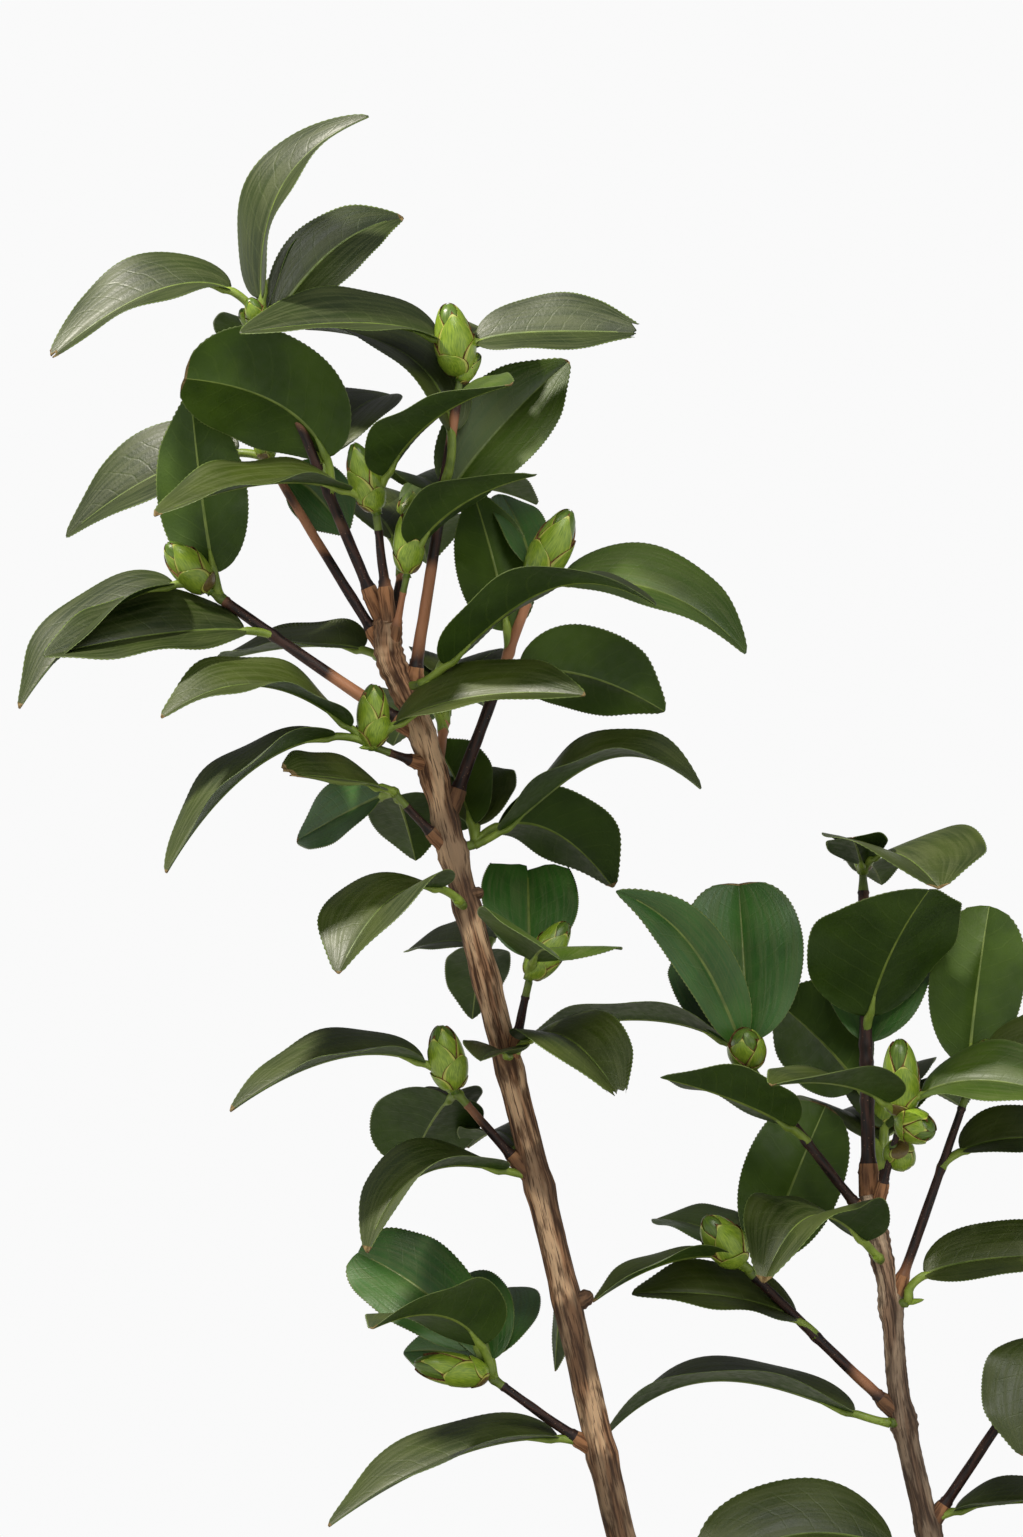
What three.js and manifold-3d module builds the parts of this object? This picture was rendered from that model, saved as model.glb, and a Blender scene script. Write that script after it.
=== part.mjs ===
// A young camellia shrub about 0.93 m tall, rooted in the ground. A short flared foot forks into two
// slender stems that lean to the left. Leafy side shoots with fat flower buds grow out all round them.
// Millimetres. +X is to the right, +Y away from the viewer, +Z up. The origin is the flat cut at the
// ground.
import * as THREE from 'three';
import { mergeVertices } from 'three/addons/utils/BufferGeometryUtils.js';
import Module from 'manifold-3d';

const wasm = await Module();
wasm.setup();

// Driving sizes
const SEAT_GAP = 0.3; // clear space where one solid meets the next
const LEAF_WIDTH_SHARE = 0.5; // blade width as a share of the leaf's whole length
const LEAF_THICK = 1.7; // at the midrib; the blade thins to its edges
const LEAF_FOLD = 16; // degrees that each half of a blade rises from the midrib
const PETIOLE_SHARE = 0.12; // leaf stalk as a share of the leaf's whole length
const PETIOLE_WIDE = 2.6;
const FOOT_RADIUS = 11; // the trunk's foot above its flare
const FLARE_RADIUS = 17; // the flare at the ground
const FOOT_TOP = 44; // height at which the two stems part
const TWIG_SIDES = 5;
const BOUGH_SIDES = 6;
const STEM_SIDES = 8;
const STEM_STEPS = 15;
const UP = new THREE.Vector3(0, 0, 1);

// The two stems: a smooth run through a few points, with the diameter at the foot and at the tip.
const stems = {
  left_stem: {
    run: [[-5, 0, 24], [-62, 4, 150], [-107, 6, 262], [-132, 5, 362], [-163, 2, 495], [-194, 0, 615],
      [-213, 0, 687], [-224, 0, 712], [-225, 0, 728]],
    diameters: [15, 9],
  },
  right_stem: {
    run: [[5, 0, 24], [21, 3, 150], [16, 4, 262], [-8, 3, 360], [-20, 2, 415], [-24, 2, 455],
      [-33, 0, 497]],
    diameters: [13.5, 7.4],
  },
};

// The shoots that the front view shows. height is where a shoot leaves its stem, reach its way from there
// to its tip, thick its diameter at the foot, bare the share of it that is a bare bough, and shift moves its
// foot off the stem's middle.
// A leaf is [share along the shoot, then the way from its foot to its tip: right, away, up, then its arch
// as a share of that way, and the degrees that its face leans from straight up towards the viewer]. It may
// add its lean to the right, its width against the usual, its peak, which is higher where the arch is
// highest nearer the tip, and its turn, the degrees by which its face leans further at the tip.
// A bud is [share along the shoot, the way from its foot to its tip: right, away, up, then its diameter].
const shoots = [
  { name: 'low_left_spray', stem: 'left_stem', height: 392, reach: [-46, -6, 33], thick: 4.6,
    leaves: [[1, -53, 50, 45, 0.1, 75, { wide: 0.9 }], [0.97, -46, -62, 25, 0.2, -36, { wide: 1.1 }],
      [1, 8, 58, 30, 0.08, 72], [0.95, -14, 40, 37, 0.1, 60, { wide: 1.1 }],
      [1, -34, 32, 6, 0.1, 70, { wide: 0.85 }], [0.05, -107, -18, -28, 0.13, 7, { wide: 0.92 }]],
    buds: [[1, -29, -14, 6, 15]] },
  { name: 'low_back_leaf', stem: 'left_stem', height: 455, reach: [0, 10, 3], thick: 4,
    leaves: [[1, -4, 52, -38, 0.12, 0, { lean: 1.2, wide: 0.42 }]] },
  { name: 'middle_left_spray', stem: 'left_stem', height: 500, reach: [-34, -6, 39], thick: 4.4,
    leaves: [[1, -89, -15, -8, 0.2, 8], [0.95, -21, 52, -33, 0.07, -10, { lean: 0.2, wide: 1.4 }],
      [0.12, -64, -30, -29, 0.26, 0, { lean: 0.1, wide: 1.2, peak: 1.15 }],
      [0.2, -22, 50, 5, 0.2, 15, { wide: 0.9 }], [0.95, -6, 48, -18, 0.1, 10]],
    buds: [[1, -6, -2, 26, 17]] },
  { name: 'middle_right_spray', stem: 'left_stem', height: 547, reach: [8, -12, 37], thick: 4.2,
    leaves: [[0.05, 43, -55, -11, 0.25, 26, { lean: 0.1, wide: 1.05 }],
      [1, -1, 43, 52, 0.06, 78, { lean: 0.1, wide: 1.2 }],
      [1, 12, -70, 9, 0.12, 12, { lean: 0.3, wide: 1.65 }], [0.08, -12, -52, 3, 0.08, 20, { wide: 0.95 }]],
    buds: [[1, 15, 3, 22, 15]] },
  { name: 'middle_back_spray', stem: 'left_stem', height: 583, reach: [0, 30, 10], thick: 4.2,
    leaves: [[1, -33, 42, -1, 0.08, 40], [1, -6, 48, -29, 0.12, -10, { wide: 0.95 }],
      [1, 16, 50, 2, 0.14, 5]] },
  { name: 'front_leaf', stem: 'left_stem', height: 611, reach: [-3, -9, 3], thick: 3.6,
    leaves: [[1, -47, -50, -27, 0.22, 4, { lean: -0.1, wide: 1.25, peak: 0.8 }]] },
  { name: 'inner_left_spray', stem: 'left_stem', height: 632, reach: [-24, -10, 26], thick: 4,
    leaves: [[1, -44, -42, 7, 0.03, 32, { wide: 1.1 }], [1, -40, 40, -20, 0.02, 60],
      [1, 8, 50, -28, 0.05, -25, { wide: 1.1 }]] },
  { name: 'fork_spray', stem: 'left_stem', height: 635, reach: [9, 6, 2], thick: 4,
    leaves: [[1, 90, -24, 22, 0.22, 12, { wide: 1.1, peak: 1.6 }],
      [1, 56, 30, -18, 0.23, -38, { wide: 1.2 }],
      [1, -17, 42, 42, 0.08, -60], [1, 6, 46, 31, 0.12, 30]] },
  { name: 'right_spray', bough: 'right_bough', stem: 'left_stem', height: 646, reach: [35, 4, 95],
    thick: 5.4, bare: 0.46,
    leaves: [[0.58, 68, 20, -10, 0.14, -60, { wide: 1.1 }], [0.72, -15, 20, 67, 0.05, -88, { wide: 0.9 }],
      [1, -13, 42, 38, 0.1, 55, { lean: 0.4, wide: 0.8 }],
      [1, 85, -4, -28, 0.145, 31, { peak: 1.1 }]],
    buds: [[1, 15, -2, 30, 18]] },
  { name: 'bud_spray', stem: 'left_stem', height: 668, reach: [-23, -16, 8], thick: 4,
    leaves: [[1, -83, -25, 11, 0.21, 6, { peak: 1.1, turn: 20 }], [1, -81, -25, -50, 0.185, 0],
      [1, 84, -30, 20, 0.11, 26]],
    buds: [[1, 0, -3, 25, 15]] },
  { name: 'upper_left_spray', bough: 'upper_left_bough', stem: 'left_stem', height: 680,
    reach: [-86, 10, 59], thick: 5.6, bare: 0.5,
    leaves: [[1, -75, -18, -48, 0.16, 12], [0.7, -90, -30, -9, 0.05, 34],
      [0.95, -12, 4, 83, -0.02, -85, { wide: 0.9 }]],
    buds: [[1, -17, -3, 19, 16]] },
  { name: 'fork_back_leaf', stem: 'left_stem', height: 709, reach: [-4, 9, 2], thick: 3.6,
    leaves: [[1, -72, 44, -1, 0.08, 18]] },
  { name: 'crown_left_spray', bough: 'crown_left_bough', stem: 'left_stem', height: 711,
    reach: [-50, 28, 81], thick: 4.6, bare: 0.58,
    leaves: [[1, -84, 30, -30, 0.12, 42], [0.95, 29, 4, -26, 0.1, 70, { wide: 1.4 }],
      [1, -25, 60, 35, 0.15, 20]],
    buds: [[1, -4, 4, 14, 10]] },
  { name: 'crown_top_spray', bough: 'crown_top_bough', stem: 'left_stem', height: 726, shift: [-2, 2.6],
    reach: [-48, -6, 116], thick: 4.8, bare: 0.3,
    leaves: [[0.45, -57, -20, 45, 0.22, -62, { wide: 1.3 }], [0.5, 26, 53, 37, 0.15, 25],
      [0.55, 12, 45, 24, 0.1, 40], [1, -84, -12, -12, 0.265, 28, { wide: 0.95, peak: 0.62 }],
      [1, 43, -8, 85, 0.2, 34, { lean: -0.7, wide: 0.8, peak: 1.15 }],
      [1, 56, 30, 48, 0.1, 60, { lean: 0.1, wide: 0.75, peak: 1.3 }], [1, 21, 48, 39, 0.1, -40],
      [1, -14, 52, -6, 0.1, -30]],
    buds: [[1, -5, -5, 13, 10], [1, -9, 3, 9, 9]] },
  { name: 'crown_front_spray', stem: 'left_stem', height: 726, shift: [0.6, -2.8], reach: [-5, -7, 44],
    thick: 4.4,
    leaves: [[1, -86, -44, -4, 0.13, 14, { wide: 0.9 }], [1, 54, -70, 46, 0.14, 22, { wide: 0.95 }]],
    buds: [[1, -9, -4, 27, 15]] },
  { name: 'crown_bud_spray', stem: 'left_stem', height: 712, reach: [7, -12, 33], thick: 3.4,
    leaves: [[1, 51, -46, 37, 0.13, 3]],
    buds: [[1, 2, -2, 27, 14]] },
  { name: 'fork_front_leaf', stem: 'left_stem', height: 700, reach: [7, -8, 1], thick: 3.4,
    leaves: [[1, 93, -52, 30, 0.18, -4, { wide: 0.75, peak: 1.4 }]] },
  { name: 'crown_right_spray', bough: 'crown_right_bough', stem: 'left_stem', height: 694,
    reach: [20, -6, 130], thick: 5.2, bare: 0.5,
    leaves: [[0.58, 52, 18, 63, 0.05, 70, { wide: 0.95 }], [0.6, -16, 50, 12, 0.15, 20],
      [0.68, -57, 38, 64, 0.28, 12, { wide: 0.65 }], [1, -87, -26, 15, 0.16, 25, { peak: 0.55 }],
      [1, 74, -14, 16, 0.16, 40, { wide: 0.95, peak: 0.42 }], [1, 18, 60, 16, 0.2, 20]],
    buds: [[1, -5, -2, 29, 18], [0.98, 8, 1, 12, 8]] },
  { name: 'bottom_leaf', stem: 'right_stem', height: 350, reach: [-5, -7, 2], thick: 3.6,
    leaves: [[1, -96, -18, -16, 0.19, 36, { peak: 1.1 }]] },
  { name: 'low_right_spray', stem: 'right_stem', height: 363, reach: [52, 2, 78], thick: 4.8,
    leaves: [[1, -16, -30, -46, 0.12, 20, { wide: 1.45 }], [0.03, 78, -18, 7, 0.08, 10],
      [1, 60, 36, 12, 0.2, 10]],
    buds: [[1, 8, -2, 18, 14]] },
  { name: 'long_leaf', stem: 'right_stem', height: 405, reach: [-6, -5, 1], thick: 3.4,
    leaves: [[1, -114, 18, -8, 0.18, 0, { wide: 0.85, peak: 1.35 }]] },
  { name: 'right_left_spray', bough: 'right_left_bough', stem: 'right_stem', height: 407,
    reach: [-65, -8, 63], thick: 4.8, bare: 0.45,
    leaves: [[0.54, -74, -14, 18, 0.1, 26], [0.95, -63, -28, -10, 0.15, -5, { wide: 0.8 }],
      [1, -33, 48, 14, 0.1, 25], [0.9, 29, 34, 68, 0.02, -80, { wide: 1.05 }]],
    buds: [[1, -15, -8, 19, 18]] },
  { name: 'right_base_leaf', stem: 'right_stem', height: 453, reach: [7, -4, 1], thick: 3.4,
    leaves: [[1, 72, -12, 20, 0.13, 32, { peak: 0.5 }]] },
  { name: 'right_side_spray', bough: 'right_side_bough', stem: 'right_stem', height: 451,
    reach: [31, 2, 88], thick: 4.4, bare: 0.5,
    leaves: [[0.65, 72, 12, 6, 0.12, 28], [1, 10, 20, 73, 0.04, -85, { wide: 1.05 }],
      [1, 70, -14, 10, 0.2, 30], [1, 30, 60, 12, 0.2, 10]],
    buds: [[1, 8, -3, 20, 14]] },
  { name: 'right_front_leaf', stem: 'right_stem', height: 470, reach: [-2, -8, 2], thick: 3.4,
    leaves: [[1, -48, -50, -6, 0.32, 8, { lean: -0.1, wide: 1.3, peak: 1.1 }]] },
  { name: 'right_upper_spray', bough: 'right_upper_bough', stem: 'right_stem', height: 483,
    reach: [-51, -6, 66], thick: 4.4, bare: 0.5,
    leaves: [[0.54, -59, -22, 27, 0.06, -16, { wide: 1.3 }],
      [0.97, -55, -26, 72, 0.12, 66, { wide: 0.52, peak: 1.3 }],
      [1, -3, 26, 72, 0.03, 85, { wide: 1.3 }], [1, -26, 45, 46, 0.08, 60], [0.97, -88, 30, 12, 0.155, -4]],
    buds: [[1, -2, -14, 14, 17]] },
  { name: 'right_top_spray', bough: 'right_top_bough', stem: 'right_stem', height: 496, shift: [0.4, 1.6],
    reach: [-2, 7, 130], thick: 6, bare: 0.28,
    leaves: [[0.475, 22, -48, 63, 0.1, -45, { lean: -0.3, wide: 1.6 }],
      [0.42, 10, 45, 50, 0.06, 66, { wide: 1.3 }], [0.3, -34, 40, 38, 0.05, -72, { wide: 1.35 }],
      [1, 27, -52, -6, 0.17, 0, { wide: 2.3 }], [1, 10, 40, -6, 0.12, -20, { wide: 1.1 }],
      [1, -6, -34, 14, 0.05, -50, { wide: 1.35 }]],
    buds: [[1, 1, 2, 12, 9]] },
  { name: 'right_bud_spray', stem: 'right_stem', height: 490, shift: [1.5, -1.5], reach: [10, -9, 39],
    thick: 3.4,
    leaves: [[0.95, -54, -58, 17, 0.1, 0, { wide: 1.1 }], [1, 68, -34, 6, 0.16, 34]],
    buds: [[1, -1, -3, 31, 17], [0.95, 12, -14, -4, 16], [0.7, 6, 10, -9, 14]] },
];

// The shoots below the front view's lower edge and behind the crown follow a rule. Each has a stem, a
// height, a compass bearing (0 to the right, 90 away from the viewer), a length, a number of leaves and how
// widely they fan out.
const RULE_RISE = 38; // degrees above level
const LEAF_TURN = 137.5; // degrees from one leaf to the next round its twig
const ruledShoots = [
  ['foot_left_spray', 'left_stem', 286, 212, 52, 4],
  ['foot_front_spray', 'left_stem', 232, -108, 44, 4],
  ['foot_back_spray', 'left_stem', 196, 138, 50, 4],
  ['crown_back_spray', 'left_stem', 719, 82, 66, 4, 0.3],
  ['upper_back_spray', 'left_stem', 662, 84, 50, 4, 0.15],
  ['foot_right_spray', 'right_stem', 300, 18, 52, 4],
  ['foot_right_front_spray', 'right_stem', 256, -58, 46, 4],
  ['foot_right_back_spray', 'right_stem', 200, 58, 50, 4],
  ['right_back_spray', 'right_stem', 478, 84, 64, 4, 0.15],
];

// Stubs of pruned shoots on the left stem: height, then the way out: right, away, up, then the diameter.
const stubs = [[452, 9, 0, 3, 6], [617, 8, -2, 1, 5]];

// A repeatable stream of numbers from 0 to 1
function randomFrom(seed) {
  let state = seed;
  return () => {
    state = (state * 16807) % 2147483647;
    return state / 2147483647;
  };
}

function vector(values) {
  return new THREE.Vector3(...values);
}

function solidOf(geometry) {
  const bare = new THREE.BufferGeometry();
  bare.setAttribute('position', geometry.getAttribute('position'));
  bare.setIndex(geometry.index);
  const merged = mergeVertices(bare, 1e-4);
  const mesh = new wasm.Mesh({
    numProp: 3,
    vertProperties: new Float32Array(merged.attributes.position.array),
    triVerts: new Uint32Array(merged.index.array),
  });
  return new wasm.Manifold(mesh);
}

// A closed skin over a row of rings that all have the same number of points. It ends flat, or in a point
// where the last ring is a single point.
function skin(rings) {
  const points = rings.flat();
  const index = [];
  const sides = rings[0].length;
  const pointed = rings[rings.length - 1].length === 1;
  const tubes = pointed ? rings.length - 2 : rings.length - 1;
  for (let ring = 0; ring < tubes; ring++) {
    for (let side = 0; side < sides; side++) {
      const a = ring * sides + side;
      const b = ring * sides + ((side + 1) % sides);
      index.push(a, b, b + sides, a, b + sides, a + sides);
    }
  }
  for (let side = 1; side < sides - 1; side++) index.push(0, side + 1, side);
  const last = tubes * sides;
  if (pointed) {
    for (let side = 0; side < sides; side++) {
      index.push(last + side, last + ((side + 1) % sides), last + sides);
    }
  } else {
    for (let side = 1; side < sides - 1; side++) index.push(last, last + side, last + side + 1);
  }
  const geometry = new THREE.BufferGeometry();
  geometry.setAttribute('position', new THREE.Float32BufferAttribute(points.flatMap((p) => p.toArray()), 3));
  geometry.setIndex(index);
  return geometry;
}

// A limb round a curve between two shares of it, its radius given for each share
function limb(curve, radiusAt, sides, steps, from = 0, to = 1) {
  const rings = [];
  let side = new THREE.Vector3(0, 1, 0);
  for (let step = 0; step <= steps; step++) {
    const share = from + ((to - from) * step) / steps;
    const middle = curve.getPoint(share);
    const along = curve.getTangent(share);
    side = side.clone().addScaledVector(along, -side.dot(along)).normalize();
    const across = along.clone().cross(side);
    const ring = [];
    for (let corner = 0; corner < sides; corner++) {
      const angle = (corner / sides) * 2 * Math.PI;
      ring.push(middle.clone()
        .addScaledVector(side, Math.cos(angle) * radiusAt(share))
        .addScaledVector(across, Math.sin(angle) * radiusAt(share)));
    }
    rings.push(ring);
  }
  return solidOf(skin(rings));
}

// Half the blade's width at a share of its length, as a share of its greatest half width
function bladeShape(share) {
  const peak = (0.5 ** 0.5 * 0.65 ** 0.65) / 1.15 ** 1.15;
  const drawnOut = 1 - 0.3 * THREE.MathUtils.smoothstep(share, 0.7, 1);
  return (share ** 0.5 * (1 - share) ** 0.65 * drawnOut) / peak;
}

// A leaf's rings from its foot: a stalk, then a blade folded along its midrib that arches over and ends in a
// point
const LEAF_STATIONS = [0, 0.13, 0.22, 0.42, 0.66, 0.88];
function leafRings(foot, [right, away, up, arch, face, { lean = 0, wide = 1, peak = 0.75, turn = 0 } = {}]) {
  const way = new THREE.Vector3(right, away, up);
  const length = way.length();
  const ahead = way.clone().normalize();
  const rise = UP.clone().addScaledVector(ahead, -UP.dot(ahead)).normalize();
  const acrossAt = (share) => {
    const angle = THREE.MathUtils.degToRad(face + turn * share);
    return ahead.clone().cross(new THREE.Vector3(lean, -Math.sin(angle), Math.cos(angle))).normalize();
  };
  const line = (share) => {
    const skewed = share ** peak;
    return foot.clone().addScaledVector(way, share)
      .addScaledVector(rise, length * arch * 4 * skewed * (1 - skewed));
  };
  const halfWidth = (length * (1 + 2 * arch * arch) * LEAF_WIDTH_SHARE * wide) / 2;
  const fold = THREE.MathUtils.degToRad(LEAF_FOLD);
  const rings = LEAF_STATIONS.map((share) => {
    const middle = line(share);
    const along = line(share + 0.02).sub(line(Math.max(share - 0.02, 0))).normalize();
    const level = acrossAt(share);
    const across = level.addScaledVector(along, -level.dot(along)).normalize();
    const normal = across.clone().cross(along);
    const onBlade = share > PETIOLE_SHARE;
    const bladeShare = Math.max((share - PETIOLE_SHARE) / (1 - PETIOLE_SHARE), 0);
    const half = Math.max(onBlade ? halfWidth * bladeShape(bladeShare) : 0, PETIOLE_WIDE / 2);
    const thick = onBlade ? LEAF_THICK : PETIOLE_WIDE;
    const lift = onBlade ? Math.sin(fold) * half : 0;
    const edge = (sign) => middle.clone().addScaledVector(across, sign * half * Math.cos(fold))
      .addScaledVector(normal, lift);
    const skinPoint = (sign) => middle.clone().addScaledVector(normal, (sign * thick) / 2);
    return [edge(1), skinPoint(-1), edge(-1), skinPoint(1)];
  });
  rings.push([line(1)]);
  return rings;
}

// A plump flower bud: a turned body on the end of its way
function bud(foot, [right, away, up, diameter]) {
  const way = new THREE.Vector3(right, away, up);
  const outline = [[0.6, 0.05], [1, 0.38], [0.84, 0.7], [0, 1]];
  const profile = [new THREE.Vector2(0, -0.06 * way.length())];
  for (const [radius, height] of outline) {
    profile.push(new THREE.Vector2((radius * diameter) / 2, height * way.length()));
  }
  const body = new THREE.LatheGeometry(profile, 6);
  const turn = new THREE.Quaternion().setFromUnitVectors(new THREE.Vector3(0, 1, 0), way.clone().normalize());
  body.applyQuaternion(turn).translate(foot.x, foot.y, foot.z);
  return solidOf(body);
}

function stemCurve(name) {
  return new THREE.CatmullRomCurve3(stems[name].run.map(vector), false, 'centripetal');
}

function stemRadius(name, share) {
  const [foot, tip] = stems[name].diameters;
  return THREE.MathUtils.lerp(foot, tip, share ** 0.7) / 2;
}

function stemSolid(name, extra = 0) {
  return limb(stemCurve(name), (share) => stemRadius(name, share) + extra, STEM_SIDES, STEM_STEPS);
}

// The point on a stem's middle line at a height
function stemPoint(name, height) {
  const curve = stemCurve(name);
  let low = 0;
  let high = 1;
  for (let halving = 0; halving < 30; halving++) {
    const share = (low + high) / 2;
    if (curve.getPoint(share).z < height) low = share;
    else high = share;
  }
  return curve.getPoint(low);
}

// A shoot's line leaves its stem a little flatter than it ends
function shootCurve(shoot) {
  const [shiftX, shiftY] = shoot.shift ?? [0, 0];
  const start = stemPoint(shoot.stem, shoot.height).add(new THREE.Vector3(shiftX, shiftY, 0));
  const reach = vector(shoot.reach);
  const bend = reach.clone().multiplyScalar(0.5).add(new THREE.Vector3(0, 0, -0.015 * reach.length()));
  return new THREE.QuadraticBezierCurve3(start, start.clone().add(bend), start.clone().add(reach));
}

function shootRadius(shoot, share) {
  return (shoot.thick * (1 - 0.3 * share)) / 2;
}

// A mass: the leafy part of a shoot, with its leaves and buds fused on
function massSolid(shoot) {
  const curve = shootCurve(shoot);
  const bare = shoot.bare ?? 0;
  const start = bare ? bare + SEAT_GAP / curve.getLength() : 0;
  let solid = limb(curve, (share) => shootRadius(shoot, share), TWIG_SIDES, bare ? 4 : 3, start, 1);
  for (const [share, ...shape] of shoot.leaves) {
    solid = solid.add(solidOf(skin(leafRings(curve.getPoint(share), shape))));
  }
  for (const [share, ...shape] of shoot.buds ?? []) solid = solid.add(bud(curve.getPoint(share), shape));
  return solid;
}

// The rule for a shoot that the front view doesn't show. Its leaves turn round the twig, drawn towards the
// side that faces away from the stem.
function ruled([name, stem, height, bearing, length, count, fan = 0.65], number) {
  const random = randomFrom(4100 + 17 * number);
  const turn = THREE.MathUtils.degToRad(bearing);
  const rise = THREE.MathUtils.degToRad(RULE_RISE);
  const out = length * Math.cos(rise);
  const reach = [out * Math.cos(turn), out * Math.sin(turn), length * Math.sin(rise)];
  const leaves = [];
  for (let each = 0; each < count; each++) {
    const aside = THREE.MathUtils.euclideanModulo(240 + each * LEAF_TURN, 360) - 180;
    const leafTurn = turn + THREE.MathUtils.degToRad(fan * aside + 20 * (random() - 0.5));
    const leafLength = 70 + 16 * random();
    const leafRise = THREE.MathUtils.degToRad(-6 + 24 * random());
    leaves.push([
      1 - (0.45 * each) / count,
      leafLength * Math.cos(leafRise) * Math.cos(leafTurn),
      leafLength * Math.cos(leafRise) * Math.sin(leafTurn),
      leafLength * Math.sin(leafRise),
      0.18 + 0.08 * random(), 12 * (random() - 0.5),
    ]);
  }
  const buds = [[1, reach[0] * 0.15, reach[1] * 0.15, 21, 14]];
  return { name, stem, height, reach, thick: 4.6, leaves, buds };
}

// The trunk's foot: a flare of five low ribs that draws in to a round neck, flat at the ground
function footSolid() {
  const levels = [[0, 1], [5, 0.72], [12, 0.4], [24, 0.12], [FOOT_TOP - 8, 0], [FOOT_TOP, -0.25]];
  const rings = levels.map(([height, flare]) => {
    const ring = [];
    for (let corner = 0; corner < 20; corner++) {
      const angle = (corner / 20) * 2 * Math.PI;
      const rib = 0.75 + 0.35 * Math.cos(5 * angle);
      const radius = FOOT_RADIUS + (FLARE_RADIUS - FOOT_RADIUS) * flare * (flare > 0 ? rib : 1);
      ring.push(new THREE.Vector3(radius * Math.cos(angle), radius * 0.9 * Math.sin(angle), height));
    }
    return ring;
  });
  return solidOf(skin(rings));
}

// The solids, each cut clear of what it grows from
const grownFoot = (() => {
  const foot = footSolid();
  return foot.scale([1 + SEAT_GAP / 8, 1 + SEAT_GAP / 8, 1 + SEAT_GAP / FOOT_TOP]);
})();
const grownStems = {
  left_stem: stemSolid('left_stem', SEAT_GAP),
  right_stem: stemSolid('right_stem', SEAT_GAP),
};

const shrub = new THREE.Group();

function material(name, color, roughness) {
  return new THREE.MeshStandardMaterial({ name, color, roughness, metalness: 0 });
}
const bark = material('bark', 0x7d6552, 0.85);
const twigBark = material('twig_bark', 0x6d4a3a, 0.7);
const foliage = material('foliage', 0x2f5a22, 0.45);

function addMesh(name, solid, finish) {
  const mesh = solid.getMesh();
  const geometry = new THREE.BufferGeometry();
  const points = [];
  for (let point = 0; point < mesh.numVert; point++) {
    points.push(...mesh.vertProperties.subarray(point * mesh.numProp, point * mesh.numProp + 3));
  }
  geometry.setAttribute('position', new THREE.Float32BufferAttribute(points, 3));
  geometry.setIndex([...mesh.triVerts]);
  geometry.computeVertexNormals();
  const piece = new THREE.Mesh(geometry, finish);
  piece.name = name;
  shrub.add(piece);
}

// Only the largest piece of a cut solid is kept; what is left inside the stem is dropped.
function largestPiece(solid) {
  return solid.decompose().reduce((most, piece) => (piece.volume() > most.volume() ? piece : most));
}

function addShoot(shoot) {
  const stem = grownStems[shoot.stem];
  if (shoot.bough) {
    const radiusAt = (share) => shootRadius(shoot, share);
    const bough = limb(shootCurve(shoot), radiusAt, BOUGH_SIDES, 5, 0, shoot.bare);
    addMesh(shoot.bough, largestPiece(bough.subtract(stem)), twigBark);
    addMesh(shoot.name, largestPiece(massSolid(shoot)), foliage);
  } else {
    addMesh(shoot.name, largestPiece(massSolid(shoot).subtract(stem)), foliage);
  }
}

addMesh('trunk_foot', footSolid(), bark);
let leftStem = stemSolid('left_stem');
for (const [height, right, away, up, diameter] of stubs) {
  const start = stemPoint('left_stem', height);
  const way = new THREE.LineCurve3(start, start.clone().add(new THREE.Vector3(right, away, up)));
  leftStem = leftStem.add(limb(way, (share) => (diameter / 2) * (1 - 0.15 * share), 6, 1));
}
addMesh('left_stem', largestPiece(leftStem.subtract(grownFoot)), bark);
const rightStem = stemSolid('right_stem').subtract(grownFoot).subtract(grownStems.left_stem);
addMesh('right_stem', largestPiece(rightStem), bark);
shoots.forEach(addShoot);
ruledShoots.map(ruled).forEach(addShoot);

export default shrub;
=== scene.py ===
import math
from collections import namedtuple

import bpy
import numpy as np
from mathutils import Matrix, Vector, noise


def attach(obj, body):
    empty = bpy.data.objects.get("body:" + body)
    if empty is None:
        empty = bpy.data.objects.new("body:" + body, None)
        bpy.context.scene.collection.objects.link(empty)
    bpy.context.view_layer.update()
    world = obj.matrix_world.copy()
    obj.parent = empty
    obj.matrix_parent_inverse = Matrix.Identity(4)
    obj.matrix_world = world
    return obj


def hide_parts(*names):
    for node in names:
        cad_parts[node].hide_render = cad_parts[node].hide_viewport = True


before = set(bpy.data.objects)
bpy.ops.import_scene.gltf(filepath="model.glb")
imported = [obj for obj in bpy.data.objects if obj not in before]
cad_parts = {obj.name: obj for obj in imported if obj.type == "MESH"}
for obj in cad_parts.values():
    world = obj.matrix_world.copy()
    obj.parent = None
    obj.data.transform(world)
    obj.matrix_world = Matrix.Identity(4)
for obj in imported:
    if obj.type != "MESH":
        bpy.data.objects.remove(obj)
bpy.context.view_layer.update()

# A young camellia shrub in flower bud. The plain solids are dressed with barked stems, ringed twigs,
# toothed leaves and scaled buds, which grow by the same rule from the same sizes. Millimetres, until the
# meshes are made in metres. +X is to the right, +Y away from the viewer, +Z up.

METRES = 0.001
UP = np.array([0.0, 0.0, 1.0])

# Driving sizes, the same as the solids'
LEAF_WIDTH_SHARE = 0.5
LEAF_FOLD = math.radians(16)
PETIOLE_SHARE = 0.12
FOOT_RADIUS = 11
FLARE_RADIUS = 17

# Fine sizes of the leaves
BLADE_ROWS = 80
BLADE_THICK = 0.5
MARGIN_WIDE = 0.3
TOOTH = 0.3
RIB_HALF = (0.75, 0.2)  # half the midrib's width at the blade's foot and at its tip
RIB_DEEP = 0.9
GROOVE_DEEP = 0.22
PETIOLE_RADIUS = 1.75
PETIOLE_END = 0.24  # how far along the leaf its stalk runs on under the blade

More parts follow.
